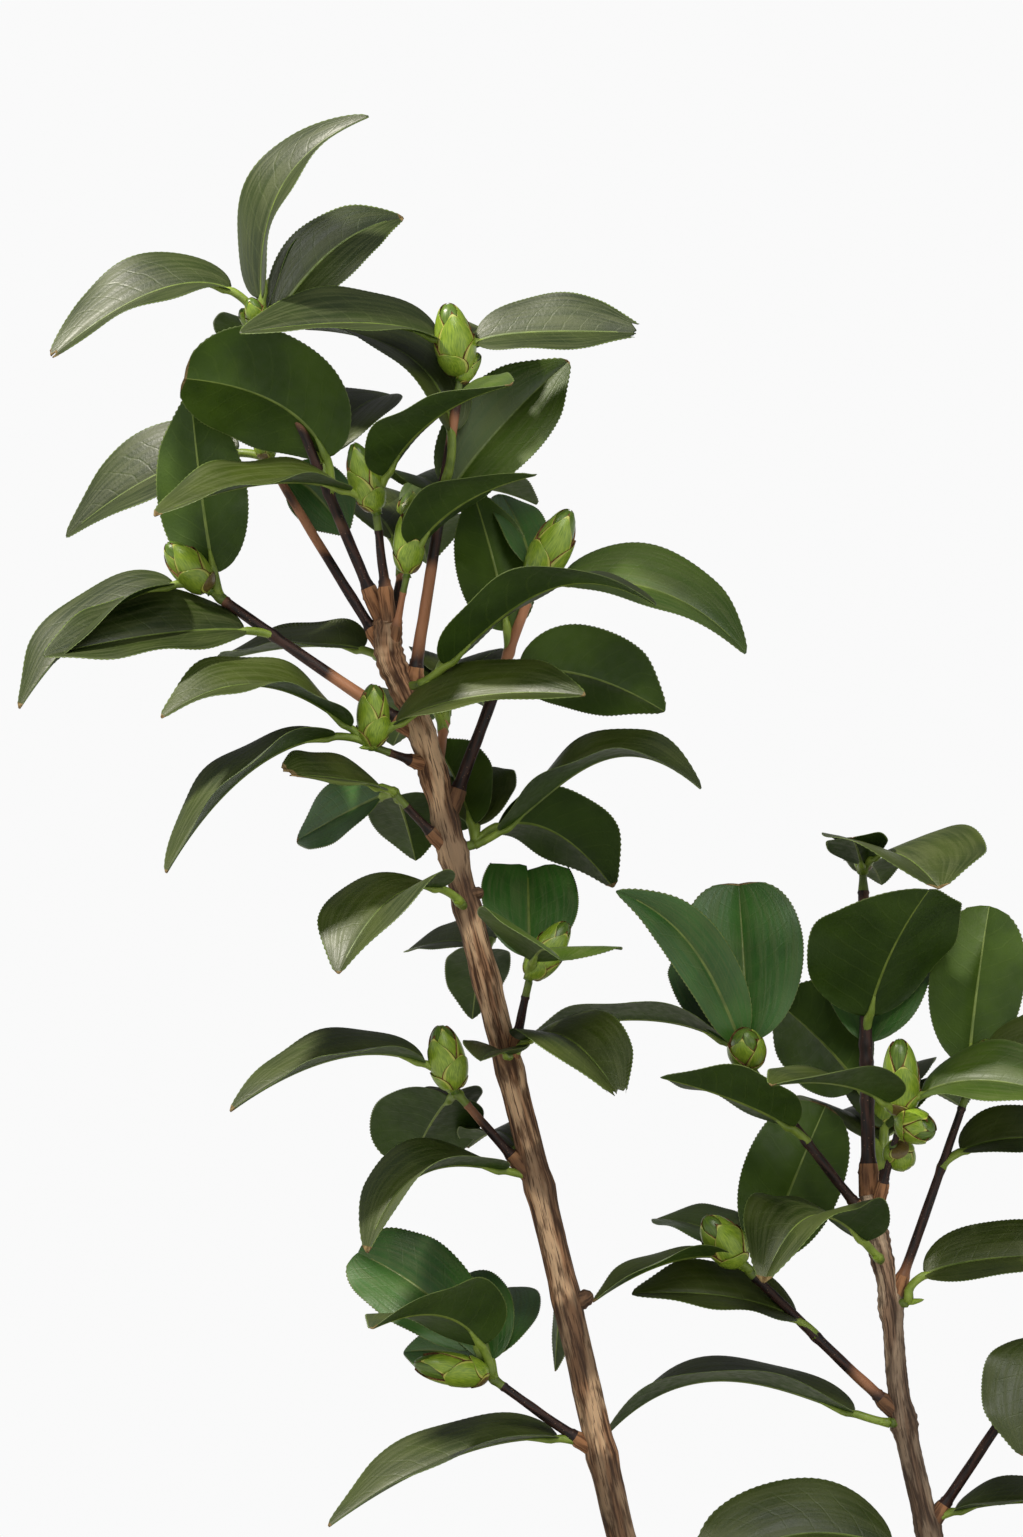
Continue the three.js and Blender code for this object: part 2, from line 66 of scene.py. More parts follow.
STEMS = {
    "left_stem": dict(
        run=[[-5, 0, 24], [-62, 4, 150], [-107, 6, 262], [-132, 5, 362], [-163, 2, 495], [-194, 0, 615],
             [-213, 0, 687], [-224, 0, 712], [-225, 0, 728]],
        diameters=(15, 9)),
    "right_stem": dict(
        run=[[5, 0, 24], [21, 3, 150], [16, 4, 262], [-8, 3, 360], [-20, 2, 415], [-24, 2, 455],
             [-33, 0, 497]],
        diameters=(13.5, 7.4)),
}

# Each shoot has a name, the height where it leaves its stem, the reach to its tip, its diameter at the foot,
# its leaves and its buds. shift moves its foot off the stem's middle, and bough marks one with a bough.
# A leaf is a row of Leaf: its share along the shoot, the way from its foot to its tip, its arch as a share of
# that way, and the degrees that its face leans towards the viewer. It may add its width against the usual,
# its lean to the right, its peak, which is higher where the arch is highest nearer the tip, and its turn,
# the degrees by which its face leans further at the tip.
# A bud is (share along the shoot, the way from its foot to its tip: right, away, up, then its diameter).
Shoot = namedtuple("Shoot", "name height reach thick leaves buds shift bough stem",
                   defaults=([], (0, 0), False, ""))
Leaf = namedtuple("Leaf", "share right away up arch face wide lean peak turn", defaults=(1, 0, 0.75, 0))

LEFT_SHOOTS = [
    Shoot("low_left_spray", 392, (-46, -6, 33), 4.6,
      [(1, -53, 50, 45, 0.1, 75, 0.9), (0.97, -46, -62, 25, 0.2, -36, 1.1), (1, 8, 58, 30, 0.08, 72),
       (0.95, -14, 40, 37, 0.1, 60, 1.1), (1, -34, 32, 6, 0.1, 70, 0.85),
       (0.05, -107, -18, -28, 0.13, 7, 0.92)],
      [(1, -29, -14, 6, 15)]),
    Shoot("low_back_leaf", 455, (0, 10, 3), 4, [(1, -4, 52, -38, 0.12, 0, 0.42, 1.2)]),
    Shoot("middle_left_spray", 500, (-34, -6, 39), 4.4,
      [(1, -89, -15, -8, 0.2, 8), (0.95, -21, 52, -33, 0.07, -10, 1.4, 0.2),
       (0.12, -64, -30, -29, 0.26, 0, 1.2, 0.1, 1.15), (0.2, -22, 50, 5, 0.2, 15, 0.9),
       (0.95, -6, 48, -18, 0.1, 10)],
      [(1, -6, -2, 26, 17)]),
    Shoot("middle_right_spray", 547, (8, -12, 37), 4.2,
      [(0.05, 43, -55, -11, 0.25, 26, 1.05, 0.1), (1, -1, 43, 52, 0.06, 78, 1.2, 0.1),
       (1, 12, -70, 9, 0.12, 12, 1.65, 0.3), (0.08, -12, -52, 3, 0.08, 20, 0.95)],
      [(1, 15, 3, 22, 15)]),
    Shoot("middle_back_spray", 583, (0, 30, 10), 4.2,
      [(1, -33, 42, -1, 0.08, 40), (1, -6, 48, -29, 0.12, -10, 0.95), (1, 16, 50, 2, 0.14, 5)]),
    Shoot("front_leaf", 611, (-3, -9, 3), 3.6, [(1, -47, -50, -27, 0.22, 4, 1.25, -0.1, 0.8)]),
    Shoot("inner_left_spray", 632, (-24, -10, 26), 4,
      [(1, -44, -42, 7, 0.03, 32, 1.1), (1, -40, 40, -20, 0.02, 60),
       (1, 8, 50, -28, 0.05, -25, 1.1)]),
    Shoot("fork_spray", 635, (9, 6, 2), 4,
      [(1, 90, -24, 22, 0.22, 12, 1.1, 0, 1.6), (1, 56, 30, -18, 0.23, -38, 1.2),
       (1, -17, 42, 42, 0.08, -60), (1, 6, 46, 31, 0.12, 30)]),
    Shoot("right_spray", 646, (35, 4, 95), 5.4,
      [(0.58, 68, 20, -10, 0.14, -60, 1.1), (0.72, -15, 20, 67, 0.05, -88, 0.9),
       (1, -13, 42, 38, 0.1, 55, 0.8, 0.4), (1, 85, -4, -28, 0.145, 31, 1, 0, 1.1)],
      [(1, 15, -2, 30, 18)], bough=True),
    Shoot("bud_spray", 668, (-23, -16, 8), 4,
      [(1, -83, -25, 11, 0.21, 6, 1, 0, 1.1, 20), (1, -81, -25, -50, 0.185, 0),
       (1, 84, -30, 20, 0.11, 26)],
      [(1, 0, -3, 25, 15)]),
    Shoot("upper_left_spray", 680, (-86, 10, 59), 5.6,
      [(1, -75, -18, -48, 0.16, 12), (0.7, -90, -30, -9, 0.05, 34),
       (0.95, -12, 4, 83, -0.02, -85, 0.9)],
      [(1, -17, -3, 19, 16)], bough=True),
    Shoot("fork_back_leaf", 709, (-4, 9, 2), 3.6, [(1, -72, 44, -1, 0.08, 18)]),
    Shoot("crown_left_spray", 711, (-50, 28, 81), 4.6,
      [(1, -84, 30, -30, 0.12, 42), (0.95, 29, 4, -26, 0.1, 70, 1.4), (1, -25, 60, 35, 0.15, 20)],
      [(1, -4, 4, 14, 10)], bough=True),
    Shoot("crown_top_spray", 726, (-48, -6, 116), 4.8,
      [(0.45, -57, -20, 45, 0.22, -62, 1.3), (0.5, 26, 53, 37, 0.15, 25),
       (0.55, 12, 45, 24, 0.1, 40), (1, -84, -12, -12, 0.265, 28, 0.95, 0, 0.62),
       (1, 43, -8, 85, 0.2, 34, 0.8, -0.7, 1.15), (1, 56, 30, 48, 0.1, 60, 0.75, 0.1, 1.3),
       (1, 21, 48, 39, 0.1, -40), (1, -14, 52, -6, 0.1, -30)],
      [(1, -5, -5, 13, 10), (1, -9, 3, 9, 9)], shift=(-2, 2.6), bough=True),
    Shoot("crown_front_spray", 726, (-5, -7, 44), 4.4,
      [(1, -86, -44, -4, 0.13, 14, 0.9), (1, 54, -70, 46, 0.14, 22, 0.95)],
      [(1, -9, -4, 27, 15)], shift=(0.6, -2.8)),
    Shoot("crown_bud_spray", 712, (7, -12, 33), 3.4,
      [(1, 51, -46, 37, 0.13, 3)], [(1, 2, -2, 27, 14)]),
    Shoot("fork_front_leaf", 700, (7, -8, 1), 3.4, [(1, 93, -52, 30, 0.18, -4, 0.75, 0, 1.4)]),
    Shoot("crown_right_spray", 694, (20, -6, 130), 5.2,
      [(0.58, 52, 18, 63, 0.05, 70, 0.95), (0.6, -16, 50, 12, 0.15, 20),
       (0.68, -57, 38, 64, 0.28, 12, 0.65), (1, -87, -26, 15, 0.16, 25, 1, 0, 0.55),
       (1, 74, -14, 16, 0.16, 40, 0.95, 0, 0.42), (1, 18, 60, 16, 0.2, 20)],
      [(1, -5, -2, 29, 18), (0.98, 8, 1, 12, 8)], bough=True),
]
RIGHT_SHOOTS = [
    Shoot("bottom_leaf", 350, (-5, -7, 2), 3.6, [(1, -96, -18, -16, 0.19, 36, 1, 0, 1.1)]),
    Shoot("low_right_spray", 363, (52, 2, 78), 4.8,
      [(1, -16, -30, -46, 0.12, 20, 1.45), (0.03, 78, -18, 7, 0.08, 10), (1, 60, 36, 12, 0.2, 10)],
      [(1, 8, -2, 18, 14)]),
    Shoot("long_leaf", 405, (-6, -5, 1), 3.4, [(1, -114, 18, -8, 0.18, 0, 0.85, 0, 1.35)]),
    Shoot("right_left_spray", 407, (-65, -8, 63), 4.8,
      [(0.54, -74, -14, 18, 0.1, 26), (0.95, -63, -28, -10, 0.15, -5, 0.8),
       (1, -33, 48, 14, 0.1, 25), (0.9, 29, 34, 68, 0.02, -80, 1.05)],
      [(1, -15, -8, 19, 18)], bough=True),
    Shoot("right_base_leaf", 453, (7, -4, 1), 3.4, [(1, 72, -12, 20, 0.13, 32, 1, 0, 0.5)]),
    Shoot("right_side_spray", 451, (31, 2, 88), 4.4,
      [(0.65, 72, 12, 6, 0.12, 28), (1, 10, 20, 73, 0.04, -85, 1.05), (1, 70, -14, 10, 0.2, 30),
       (1, 30, 60, 12, 0.2, 10)],
      [(1, 8, -3, 20, 14)], bough=True),
    Shoot("right_front_leaf", 470, (-2, -8, 2), 3.4, [(1, -48, -50, -6, 0.32, 8, 1.3, -0.1, 1.1)]),
    Shoot("right_upper_spray", 483, (-51, -6, 66), 4.4,
      [(0.54, -59, -22, 27, 0.06, -16, 1.3), (0.97, -55, -26, 72, 0.12, 66, 0.52, 0, 1.3),
       (1, -3, 26, 72, 0.03, 85, 1.3), (1, -26, 45, 46, 0.08, 60), (0.97, -88, 30, 12, 0.155, -4)],
      [(1, -2, -14, 14, 17)], bough=True),
    Shoot("right_top_spray", 496, (-2, 7, 130), 6,
      [(0.475, 22, -48, 63, 0.1, -45, 1.6, -0.3), (0.42, 10, 45, 50, 0.06, 66, 1.3),
       (0.3, -34, 40, 38, 0.05, -72, 1.35), (1, 27, -52, -6, 0.17, 0, 2.3),
       (1, 10, 40, -6, 0.12, -20, 1.1), (1, -6, -34, 14, 0.05, -50, 1.35)],
      [(1, 1, 2, 12, 9)], shift=(0.4, 1.6), bough=True),
    Shoot("right_bud_spray", 490, (10, -9, 39), 3.4,
      [(0.95, -54, -58, 17, 0.1, 0, 1.1), (1, 68, -34, 6, 0.16, 34)],
      [(1, -1, -3, 31, 17), (0.95, 12, -14, -4, 16), (0.7, 6, 10, -9, 14)], shift=(1.5, -1.5)),
]

# The shoots that the front view doesn't show: stem, height, bearing, length and how far the leaves fan out
RULE_RISE = 38
RULE_LEAVES = 4
LEAF_TURN = 137.5
RULED_SHOOTS = [
    ("foot_left_spray", "left_stem", 286, 212, 52, 0.65),
    ("foot_front_spray", "left_stem", 232, -108, 44, 0.65),
    ("foot_back_spray", "left_stem", 196, 138, 50, 0.65),
    ("crown_back_spray", "left_stem", 719, 82, 66, 0.3),
    ("upper_back_spray", "left_stem", 662, 84, 50, 0.15),
    ("foot_right_spray", "right_stem", 300, 18, 52, 0.65),
    ("foot_right_front_spray", "right_stem", 256, -58, 46, 0.65),
    ("foot_right_back_spray", "right_stem", 200, 58, 50, 0.65),
    ("right_back_spray", "right_stem", 478, 84, 64, 0.15),
]

# Stubs of pruned shoots on the left stem: height, the way out, diameter
STUBS = [(452, (10, 0, 5), 7), (617, (8, -2, 1), 5)]

# Bitten leaves, by shoot and number: how far the blade still reaches, how ragged its end is, whether brown
DAMAGE = {
    ("middle_right_spray", 1): (0.8, 0.07, False),
    ("inner_left_spray", 0): (0.95, 0.06, True),
    ("fork_back_leaf", 0): (0.95, 0.12, False),
    ("crown_right_spray", 4): (0.97, 0.05, False),
    ("middle_right_spray", 0): (0.98, 0.03, False),
    ("crown_top_spray", 3): (0.99, 0.02, False),
}


def random_from(seed):
    """A repeatable stream of numbers from 0 to 1."""
    multiplier, modulus = 16807, 2147483647
    state = seed
    while True:
        state = state * multiplier % modulus
        yield state / modulus


def unit(vectors):
    vectors = np.asarray(vectors, float)
    return vectors / np.linalg.norm(vectors, axis=-1, keepdims=True)


def smooth_step(value, low, high):
    share = np.clip((np.asarray(value, float) - low) / (high - low), 0, 1)
    return share * share * (3 - 2 * share)


def circle(sides):
    return np.linspace(0, 2 * math.pi, sides, endpoint=False)


def unrolled(around, sides, along):
    """Places on the map for a skin whose map is so wide around, with one column more for the seam."""
    return np.stack(np.meshgrid(np.linspace(0, around, sides + 1), along), axis=2)


class Sheets:
    """Grids of points gathered into one mesh. Each face has a finish, and each corner a place on the map."""

    def __init__(self):
        self.points = []
        self.faces = []
        self.finishes = []
        self.maps = []
        self.count = 0

    def _faces(self, index, spots, finish):
        """Adds polygons: their corners' numbers, their places on the map and their finish."""
        self.faces.extend(index.tolist())
        self.maps.append(spots.reshape(-1, 2))
        self.finishes.append(np.broadcast_to(finish, len(index)))

    def grid(self, points, spots, finish, close=None):
        """A skin round rows of points. spots has one column more than points, for the seam. finish is one
        number or one for each face. close closes the first and last row, with a pole unless told."""
        rows, columns = points.shape[:2]
        number = np.arange(rows * columns).reshape(rows, columns) + self.count
        number = np.hstack([number, number[:, :1]])
        finish = np.broadcast_to(finish, (rows - 1, columns))

        def corners(table):
            return np.stack([table[:-1, :-1], table[:-1, 1:], table[1:, 1:], table[1:, :-1]], axis=2)

        self.points.append(points.reshape(-1, 3))
        self.count += rows * columns
        self._faces(corners(number).reshape(-1, 4), corners(spots), finish.reshape(-1))
        close = close or self._pole
        close(points[0], spots[0], number[0], finish[0], -1)
        close(points[-1], spots[-1], number[-1], finish[-1], 1)

    def _pole(self, points, spots, ring, finish, way):
        """Closes a row with a fan round a point in its middle."""
        self.points.append(points.mean(axis=0)[None])
        pole = np.full(len(points), self.count)
        self.count += 1
        fan = np.stack([ring[:-1], ring[1:], pole], axis=1)
        places = np.stack([spots[:-1], spots[1:], spots[1:]], axis=1)
        self._faces(fan[:, ::way], places[:, ::way], finish)

    def _strip(self, points, spots, ring, finish, way):
        """Closes a row straight across, from the one side of its sheet to the other."""
        half = len(points) // 2
        top = ring[:half]
        under = ring[:-1][half:][::-1]
        strip = np.stack([top[:-1], top[1:], under[1:], under[:-1]], axis=1)
        spot = spots[:half]
        places = np.stack([spot[:-1], spot[1:], spot[1:], spot[:-1]], axis=1)
        self._faces(strip[:, ::way], places[:, ::way], finish[:half - 1])

    def sheet(self, outer, inner, spots, finish):
        """A thin sheet between two grids of points, closed all round."""
        skin = np.concatenate([outer, inner[:, ::-1]], axis=1)
        spots = np.concatenate([spots, spots[:, ::-1], spots[:, :1]], axis=1)
        self.grid(skin, spots, finish, self._strip)

    def piece(self, name, materials, slot, nodes):
        """The mesh as one piece of the scene."""
        mesh = bpy.data.meshes.new(name)
        mesh.from_pydata(np.concatenate(self.points) * METRES, [], self.faces)
        layer = mesh.uv_layers.new(name="place")
        layer.data.foreach_set("uv", np.concatenate(self.maps).astype(np.float32).ravel())
        for material in materials:
            mesh.materials.append(material)
        mesh.polygons.foreach_set("material_index", np.concatenate(self.finishes).astype(np.int32))
        mesh.polygons.foreach_set("use_smooth", np.ones(len(mesh.polygons), bool))
        mesh.update()
        made = bpy.data.objects.new(name, mesh)
        bpy.context.collection.objects.link(made)
        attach(made, "root")
        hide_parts(*nodes)


# Lines

def smooth_run(points):
    """A centripetal Catmull-Rom curve through the points, as a function of the share of the way along it."""
    points = np.array(points, float)
    knots = np.vstack([2 * points[0] - points[1], points, 2 * points[-1] - points[-2]])
    gaps = np.linalg.norm(np.diff(knots, axis=0), axis=1) ** 0.5

    def at(share):
        place = share * (len(points) - 1)
        span = min(max(int(place), 0), len(points) - 2)
        step = place - span
        before, start, end, after = knots[span:span + 4]
        gap0, gap1, gap2 = gaps[span:span + 3]
        leave = ((start - before) / gap0 - (end - before) / (gap0 + gap1)) * gap1 + end - start
        arrive = end - start + ((after - end) / gap2 - (after - start) / (gap1 + gap2)) * gap1
        square = 3 * (end - start) - 2 * leave - arrive
        cube = leave + arrive - 2 * (end - start)
        return start + leave * step + square * step ** 2 + cube * step ** 3
    return at


STEM_RUNS = {name: smooth_run(stem["run"]) for name, stem in STEMS.items()}


def stem_share(name, height):
    """The share of the way along a stem at which it reaches a height."""
    low, high = 0.0, 1.0
    for _ in range(30):
        middle = (low + high) / 2
        if STEM_RUNS[name](middle)[2] < height:
            low = middle
        else:
            high = middle
    return low


def stem_point(name, height):
    return STEM_RUNS[name](stem_share(name, height))


def stem_radius(name, share):
    foot, tip = STEMS[name]["diameters"]
    return (foot + (tip - foot) * share ** 0.7) / 2


def shoot_line(shoot):
    """A shoot's line leaves its stem a little flatter than it ends."""
    start = stem_point(shoot.stem, shoot.height) + np.array([*shoot.shift, 0])
    reach = np.array(shoot.reach, float)
    bend = reach * 0.5 - UP * 0.015 * np.linalg.norm(reach)

    def at(share):
        return start + 2 * share * (1 - share) * bend + share ** 2 * reach
    return at


def heading(length, rise, turn):
    """A way of this length at these angles, up from level and round from the right."""
    return (length * math.cos(rise) * math.cos(turn), length * math.cos(rise) * math.sin(turn),
            length * math.sin(rise))


def ruled(name, stem, height, bearing, length, fan, number):
    """The rule for a shoot that the front view doesn't show. Its leaves turn round the twig, drawn towards
    the side that faces away from the stem."""
    dice = random_from(4100 + 17 * number)
    turn = math.radians(bearing)
    reach = heading(length, math.radians(RULE_RISE), turn)
    leaves = []
    for each in range(RULE_LEAVES):
        aside = (240 + each * LEAF_TURN) % 360 - 180
        leaf_turn = turn + math.radians(fan * aside + 20 * (next(dice) - 0.5))
        long = 70 + 16 * next(dice)
        leaf_rise = math.radians(-6 + 24 * next(dice))
        arch = 0.18 + 0.08 * next(dice)
        face = 12 * (next(dice) - 0.5)
        leaves.append(Leaf(1 - 0.45 * each / RULE_LEAVES, *heading(long, leaf_rise, leaf_turn), arch, face))
    buds = [(1, reach[0] * 0.15, reach[1] * 0.15, 21, 14)]
    return Shoot(name, height, reach, 4.6, leaves, buds, stem=stem)


# Bark

def tube(sheets, line, radius, sides, shares, finish, around=1.0):
    """A limb round a line. radius gives the radii round each share, finish is a number or gives one for each
    share, and the map runs round the limb and along it in centimetres."""
    angles = circle(sides)
    side = np.array([0.0, 1.0, 0.0])
    rings = []
    for share in shares:
        middle = line(share)
        along = unit(line(share + 0.002) - line(share - 0.002))
        side = unit(side - along * side.dot(along))
        across = np.cross(along, side)
        radii = np.broadcast_to(radius(share, angles), sides)[:, None]
        rings.append(middle + radii * (np.cos(angles)[:, None] * side + np.sin(angles)[:, None] * across))
    rings = np.array(rings)
    steps = np.linalg.norm(np.diff(rings.mean(axis=1), axis=0), axis=1)
    walked = np.concatenate([[0], np.cumsum(steps)]) / 10
    if callable(finish):
        finish = np.repeat([[finish(share)] for share in shares[:-1]], sides, axis=1)
    sheets.grid(rings, unrolled(around, sides, walked), finish)


def bark_relief(angles, along, ring, seed):
    """Height of the bark: long fissures, flaky plates and fine grain, for angles round a stem, a way along
    it in millimetres and the radius of the noise's ring."""
    heights = []
    for angle in angles:
        spot = Vector((ring * math.cos(angle) + seed, ring * math.sin(angle), along / 26))
        fissures = 1 - abs(noise.noise(spot * 1.7))
        plates = noise.noise(Vector((spot.x * 0.8, spot.y * 0.8, along / 14)))
        grain = noise.noise(Vector((spot.x * 4, spot.y * 4, along / 6)))
        heights.append(0.55 * fissures ** 4 + 0.35 * plates + 0.18 * grain)
    return -0.35 + np.array(heights)


STEM_SIDES = 36
STEM_ROWS = 320
STEM_RELIEF = 0.5
STEM_MAP = 4.0  # centimetres of the map round a stem
STEM_RUN = 750  # the bark's pattern is drawn for stems of this length
NODE_SWELL = 0.75  # how far a stem swells where a shoot leaves it
NODE_REACH = 5
WRINKLE = 0.16


def stem_sheets(name, seed):
    """A stem's bark, which swells and wrinkles where a shoot leaves it."""
    line = STEM_RUNS[name]
    nodes = [shoot.height for shoot in ALL_SHOOTS if shoot.stem == name]

    def radius(share, angles):
        height = line(share)[2]
        swell = min(sum(math.exp(-((height - node) / NODE_REACH) ** 2) for node in nodes), 1.6)
        bend = 3 * noise.noise(Vector((height / 9, seed, 0)))
        wrinkle = WRINKLE * swell * np.sin(height * 1.7 + bend + 0.8 * np.sin(2 * angles + bend))
        base = stem_radius(name, share) + swell * NODE_SWELL + wrinkle
        blunt = 1 - 0.3 * smooth_step(share, 0.985, 1)
        return (base + STEM_RELIEF * bark_relief(angles, share * STEM_RUN, 1.6, seed)) * blunt

    sheets = Sheets()
    tube(sheets, line, radius, STEM_SIDES, np.linspace(0, 1, STEM_ROWS), 0, around=STEM_MAP)
    return sheets


def add_stub(sheets, height, way, diameter):
    """A dead stub on the left stem: a ringed knob with a blunt point."""
    start = stem_point("left_stem", height)
    way = np.array(way, float)

    def radius(share, angles):
        rings = 0.07 * math.sin(26 * share)
        round_end = max(1 - share ** 5, 0.0) ** 0.5
        knob = diameter / 2 * (1.15 - 0.15 * share + rings) * round_end + 0.25
        return knob + 0.15 * np.sin(3 * angles)

    tube(sheets, lambda share: start + way * share, radius, 14, np.linspace(0, 1, 30), 0)


FOOT_SIDES = 70
FOOT_TOP = 44
FOOT_RIBS = 5
FOOT_DEPTH = 0.9  # the foot's depth against its width
FOOT_RELIEF = 0.8
FOOT_MAP = 7  # centimetres of the map round the foot


def foot_sheets():
    """The trunk's foot: a flare of five low ribs that draws in to a round neck, flat at the ground."""
    angles = circle(FOOT_SIDES)
    levels = np.concatenate([np.linspace(0, 12, 14), np.linspace(12, FOOT_TOP, 26)[1:]])
    flares = np.interp(levels, [0, 5, 12, 24, 36, FOOT_TOP], [1, 0.72, 0.4, 0.12, 0, -0.25])
    rows = []
    for level, flare in zip(levels, flares):
        rib = (0.75 + 0.35 * np.cos(FOOT_RIBS * angles)) if flare > 0 else 1
        held = min(1, level / 2)
        radii = FOOT_RADIUS + (FLARE_RADIUS - FOOT_RADIUS) * flare * rib
        radii = radii + FOOT_RELIEF * held * bark_relief(angles, level, 2.4, 7)
        rows.append(np.stack([radii * np.cos(angles), radii * FOOT_DEPTH * np.sin(angles),
                              np.full(FOOT_SIDES, level)], axis=1))
    sheets = Sheets()
    sheets.grid(np.array(rows), unrolled(FOOT_MAP, FOOT_SIDES, levels / 10), 0)
    return sheets


# Twigs

TWIG, YOUNG, COLLAR = range(3)
TWIG_SIDES = 12
TWIG_STEP = 0.9
SHORT_TWIG = 16  # a shorter twig is all green and has no rings
YOUNG_LENGTH = 8  # this year's wood at a twig's end
COLLAR_LENGTH = 3.8
COLLAR_RINGS = [0.8, 2.1, 3.3, 4.4, 5.8]  # how far outside the stem each ring lies
RING_HEIGHT, RING_HALF = 0.38, 0.45
KNOT_HEIGHT, KNOT_HALF = 0.4, 2


def buried_length(shoot):
    """How much of a shoot lies inside its stem's bark."""
    stem, height = shoot.stem, shoot.height
    grain = unit(stem_point(stem, height + 5) - stem_point(stem, height - 5))
    slant = np.linalg.norm(np.cross(grain, unit(shoot.reach)))
    return stem_radius(stem, stem_share(stem, height)) / max(slant, 0.45) + 1


def add_twig(sheets, shoot, seed):
    """One shoot's wood, from inside its stem to its tip: a wrinkled collar, ringed brown bark, and green
    wood of this year at the end."""
    line = shoot_line(shoot)
    length = np.linalg.norm(shoot.reach)
    inside = buried_length(shoot)
    young = 1 - min(YOUNG_LENGTH / length, 0.3)
    knots = sorted({leaf.share for leaf in shoot.leaves})
    rings = [inside + step for step in COLLAR_RINGS] + [young * length]
    short = length < SHORT_TWIG

    def radius(share, angles):
        walked = share * length
        base = shoot.thick * (1 - 0.3 * share) / 2
        collar = (0.4 if short else 1.1) * math.exp(-(max(walked - inside, 0) / 4.5) ** 2)
        knot = sum(KNOT_HEIGHT * math.exp(-((walked - at * length) / KNOT_HALF) ** 2) for at in knots)
        ring = sum(RING_HEIGHT * math.exp(-((walked - at) / RING_HALF) ** 2) for at in rings)
        spot = Vector((seed, walked / 9, 0))
        wander = 0.12 * noise.noise(spot)
        lobes = 0.1 * np.sin(3 * angles + 4 * noise.noise(spot * 0.5))
        blunt = 1 - 0.35 * smooth_step(share, 0.94, 1)
        return (base + collar + min(knot, 0.5) + (0 if short else ring) + wander + lobes) * blunt

    def finish(share):
        if short:
            return YOUNG
        if share * length < inside + COLLAR_LENGTH:
            return COLLAR
        return YOUNG if share > young else TWIG

    rows = max(int(length / TWIG_STEP), 12)
    tube(sheets, line, radius, TWIG_SIDES, np.linspace(0, 1, rows), finish, around=1.4)


# Leaves

(UPPER, UPPER_FRESH, UPPER_BLUE, UPPER_SHADED, UNDER, UNDER_GLOWING, RIB, UNDER_RIB, MARGIN, PETIOLE,
 SCORCH) = range(11)

# The leaves that aren't as usual, by shoot: broad and round at their end, in darker greens as painted shade,
# or fresh
BLUNT_LEAVES = {
    "low_left_spray": [0, 2, 3], "middle_left_spray": [1], "crown_top_spray": [0], "right_left_spray": [3],
    "right_upper_spray": [2], "right_top_spray": [1, 2], "right_side_spray": [1],
}
SHADED_LEAVES = {
    "crown_top_spray": [3, 4, 5], "crown_left_spray": [0], "crown_right_spray": [3, 4],
    "upper_left_spray": [0, 1],
}
FRESH_LEAVES = {"crown_right_spray": [0]}


def blade_shape(share, blunt):
    """Half the blade's width at a share of its length, as a share of its greatest half width. A blade tapers
    to a point where blunt is 0, and is broad and round at its end where it is 1."""
    foot, tip = 0.5, 0.65 - 0.25 * blunt
    peak = (foot ** foot * tip ** tip) / (foot + tip) ** (foot + tip)
    point = 1 - 0.3 * (1 - blunt) * smooth_step(share, 0.7, 1)
    return share ** foot * (1 - share) ** tip * point / peak


def leaf_axes(foot, leaf):
    """A function that gives the points of a leaf's middle line, and the directions along, across and out of
    its face, at shares of its length, and that length."""
    way = np.array([leaf.right, leaf.away, leaf.up], float)
    length = np.linalg.norm(way)
    ahead = way / length
    rise = unit(UP - UP.dot(ahead) * ahead)

    def level_across(share):
        angle = np.radians(leaf.face + leaf.turn * share)
        facing = np.stack([leaf.lean + 0 * angle, -np.sin(angle), np.cos(angle)], axis=-1)
        return unit(np.cross(ahead, facing))

    def line(share):
        share = np.asarray(share, float)[..., None]
        skewed = np.clip(share, 0, None) ** leaf.peak
        return foot + way * share + rise * length * leaf.arch * 4 * skewed * (1 - skewed)

    def axes(share):
        share = np.asarray(share, float)
        along = unit(line(share + 0.02) - line(np.maximum(share - 0.02, 0)))
        across = level_across(share)
        across = unit(across - (along * across).sum(axis=-1, keepdims=True) * along)
        return line(share), along, across, np.cross(across, along)
    return axes, length


# A blade's columns from edge to edge: 0 is the middle of its midrib, 1 the midrib's side, 2 the start of its
# pale margin, and EDGE its toothed edge
EDGE = 7
HALF_COLUMNS = np.array([1, 1.25, 1.5, 1.75, 2])
COLUMNS = np.concatenate([[-EDGE], -HALF_COLUMNS[::-1], [0], HALF_COLUMNS, [EDGE]])
SIDE = np.sign(COLUMNS)
AT_EDGE = np.abs(COLUMNS) == EDGE
AT_MIDDLE = COLUMNS == 0
IN_RIB = np.abs(COLUMNS) <= 1


def shares_aside(blade, half):
    """How far each column lies from the midrib's middle, as a share of half the blade's width."""
    rib = np.minimum((RIB_HALF[0] + (RIB_HALF[1] - RIB_HALF[0]) * blade) / half, 0.4)
    margin = 1 - np.minimum(MARGIN_WIDE / half, 0.3)
    inner = rib + (margin - rib) * np.clip(np.abs(COLUMNS) - 1, 0, 1)
    return np.where(AT_EDGE, 1, np.where(AT_MIDDLE, 0, inner))


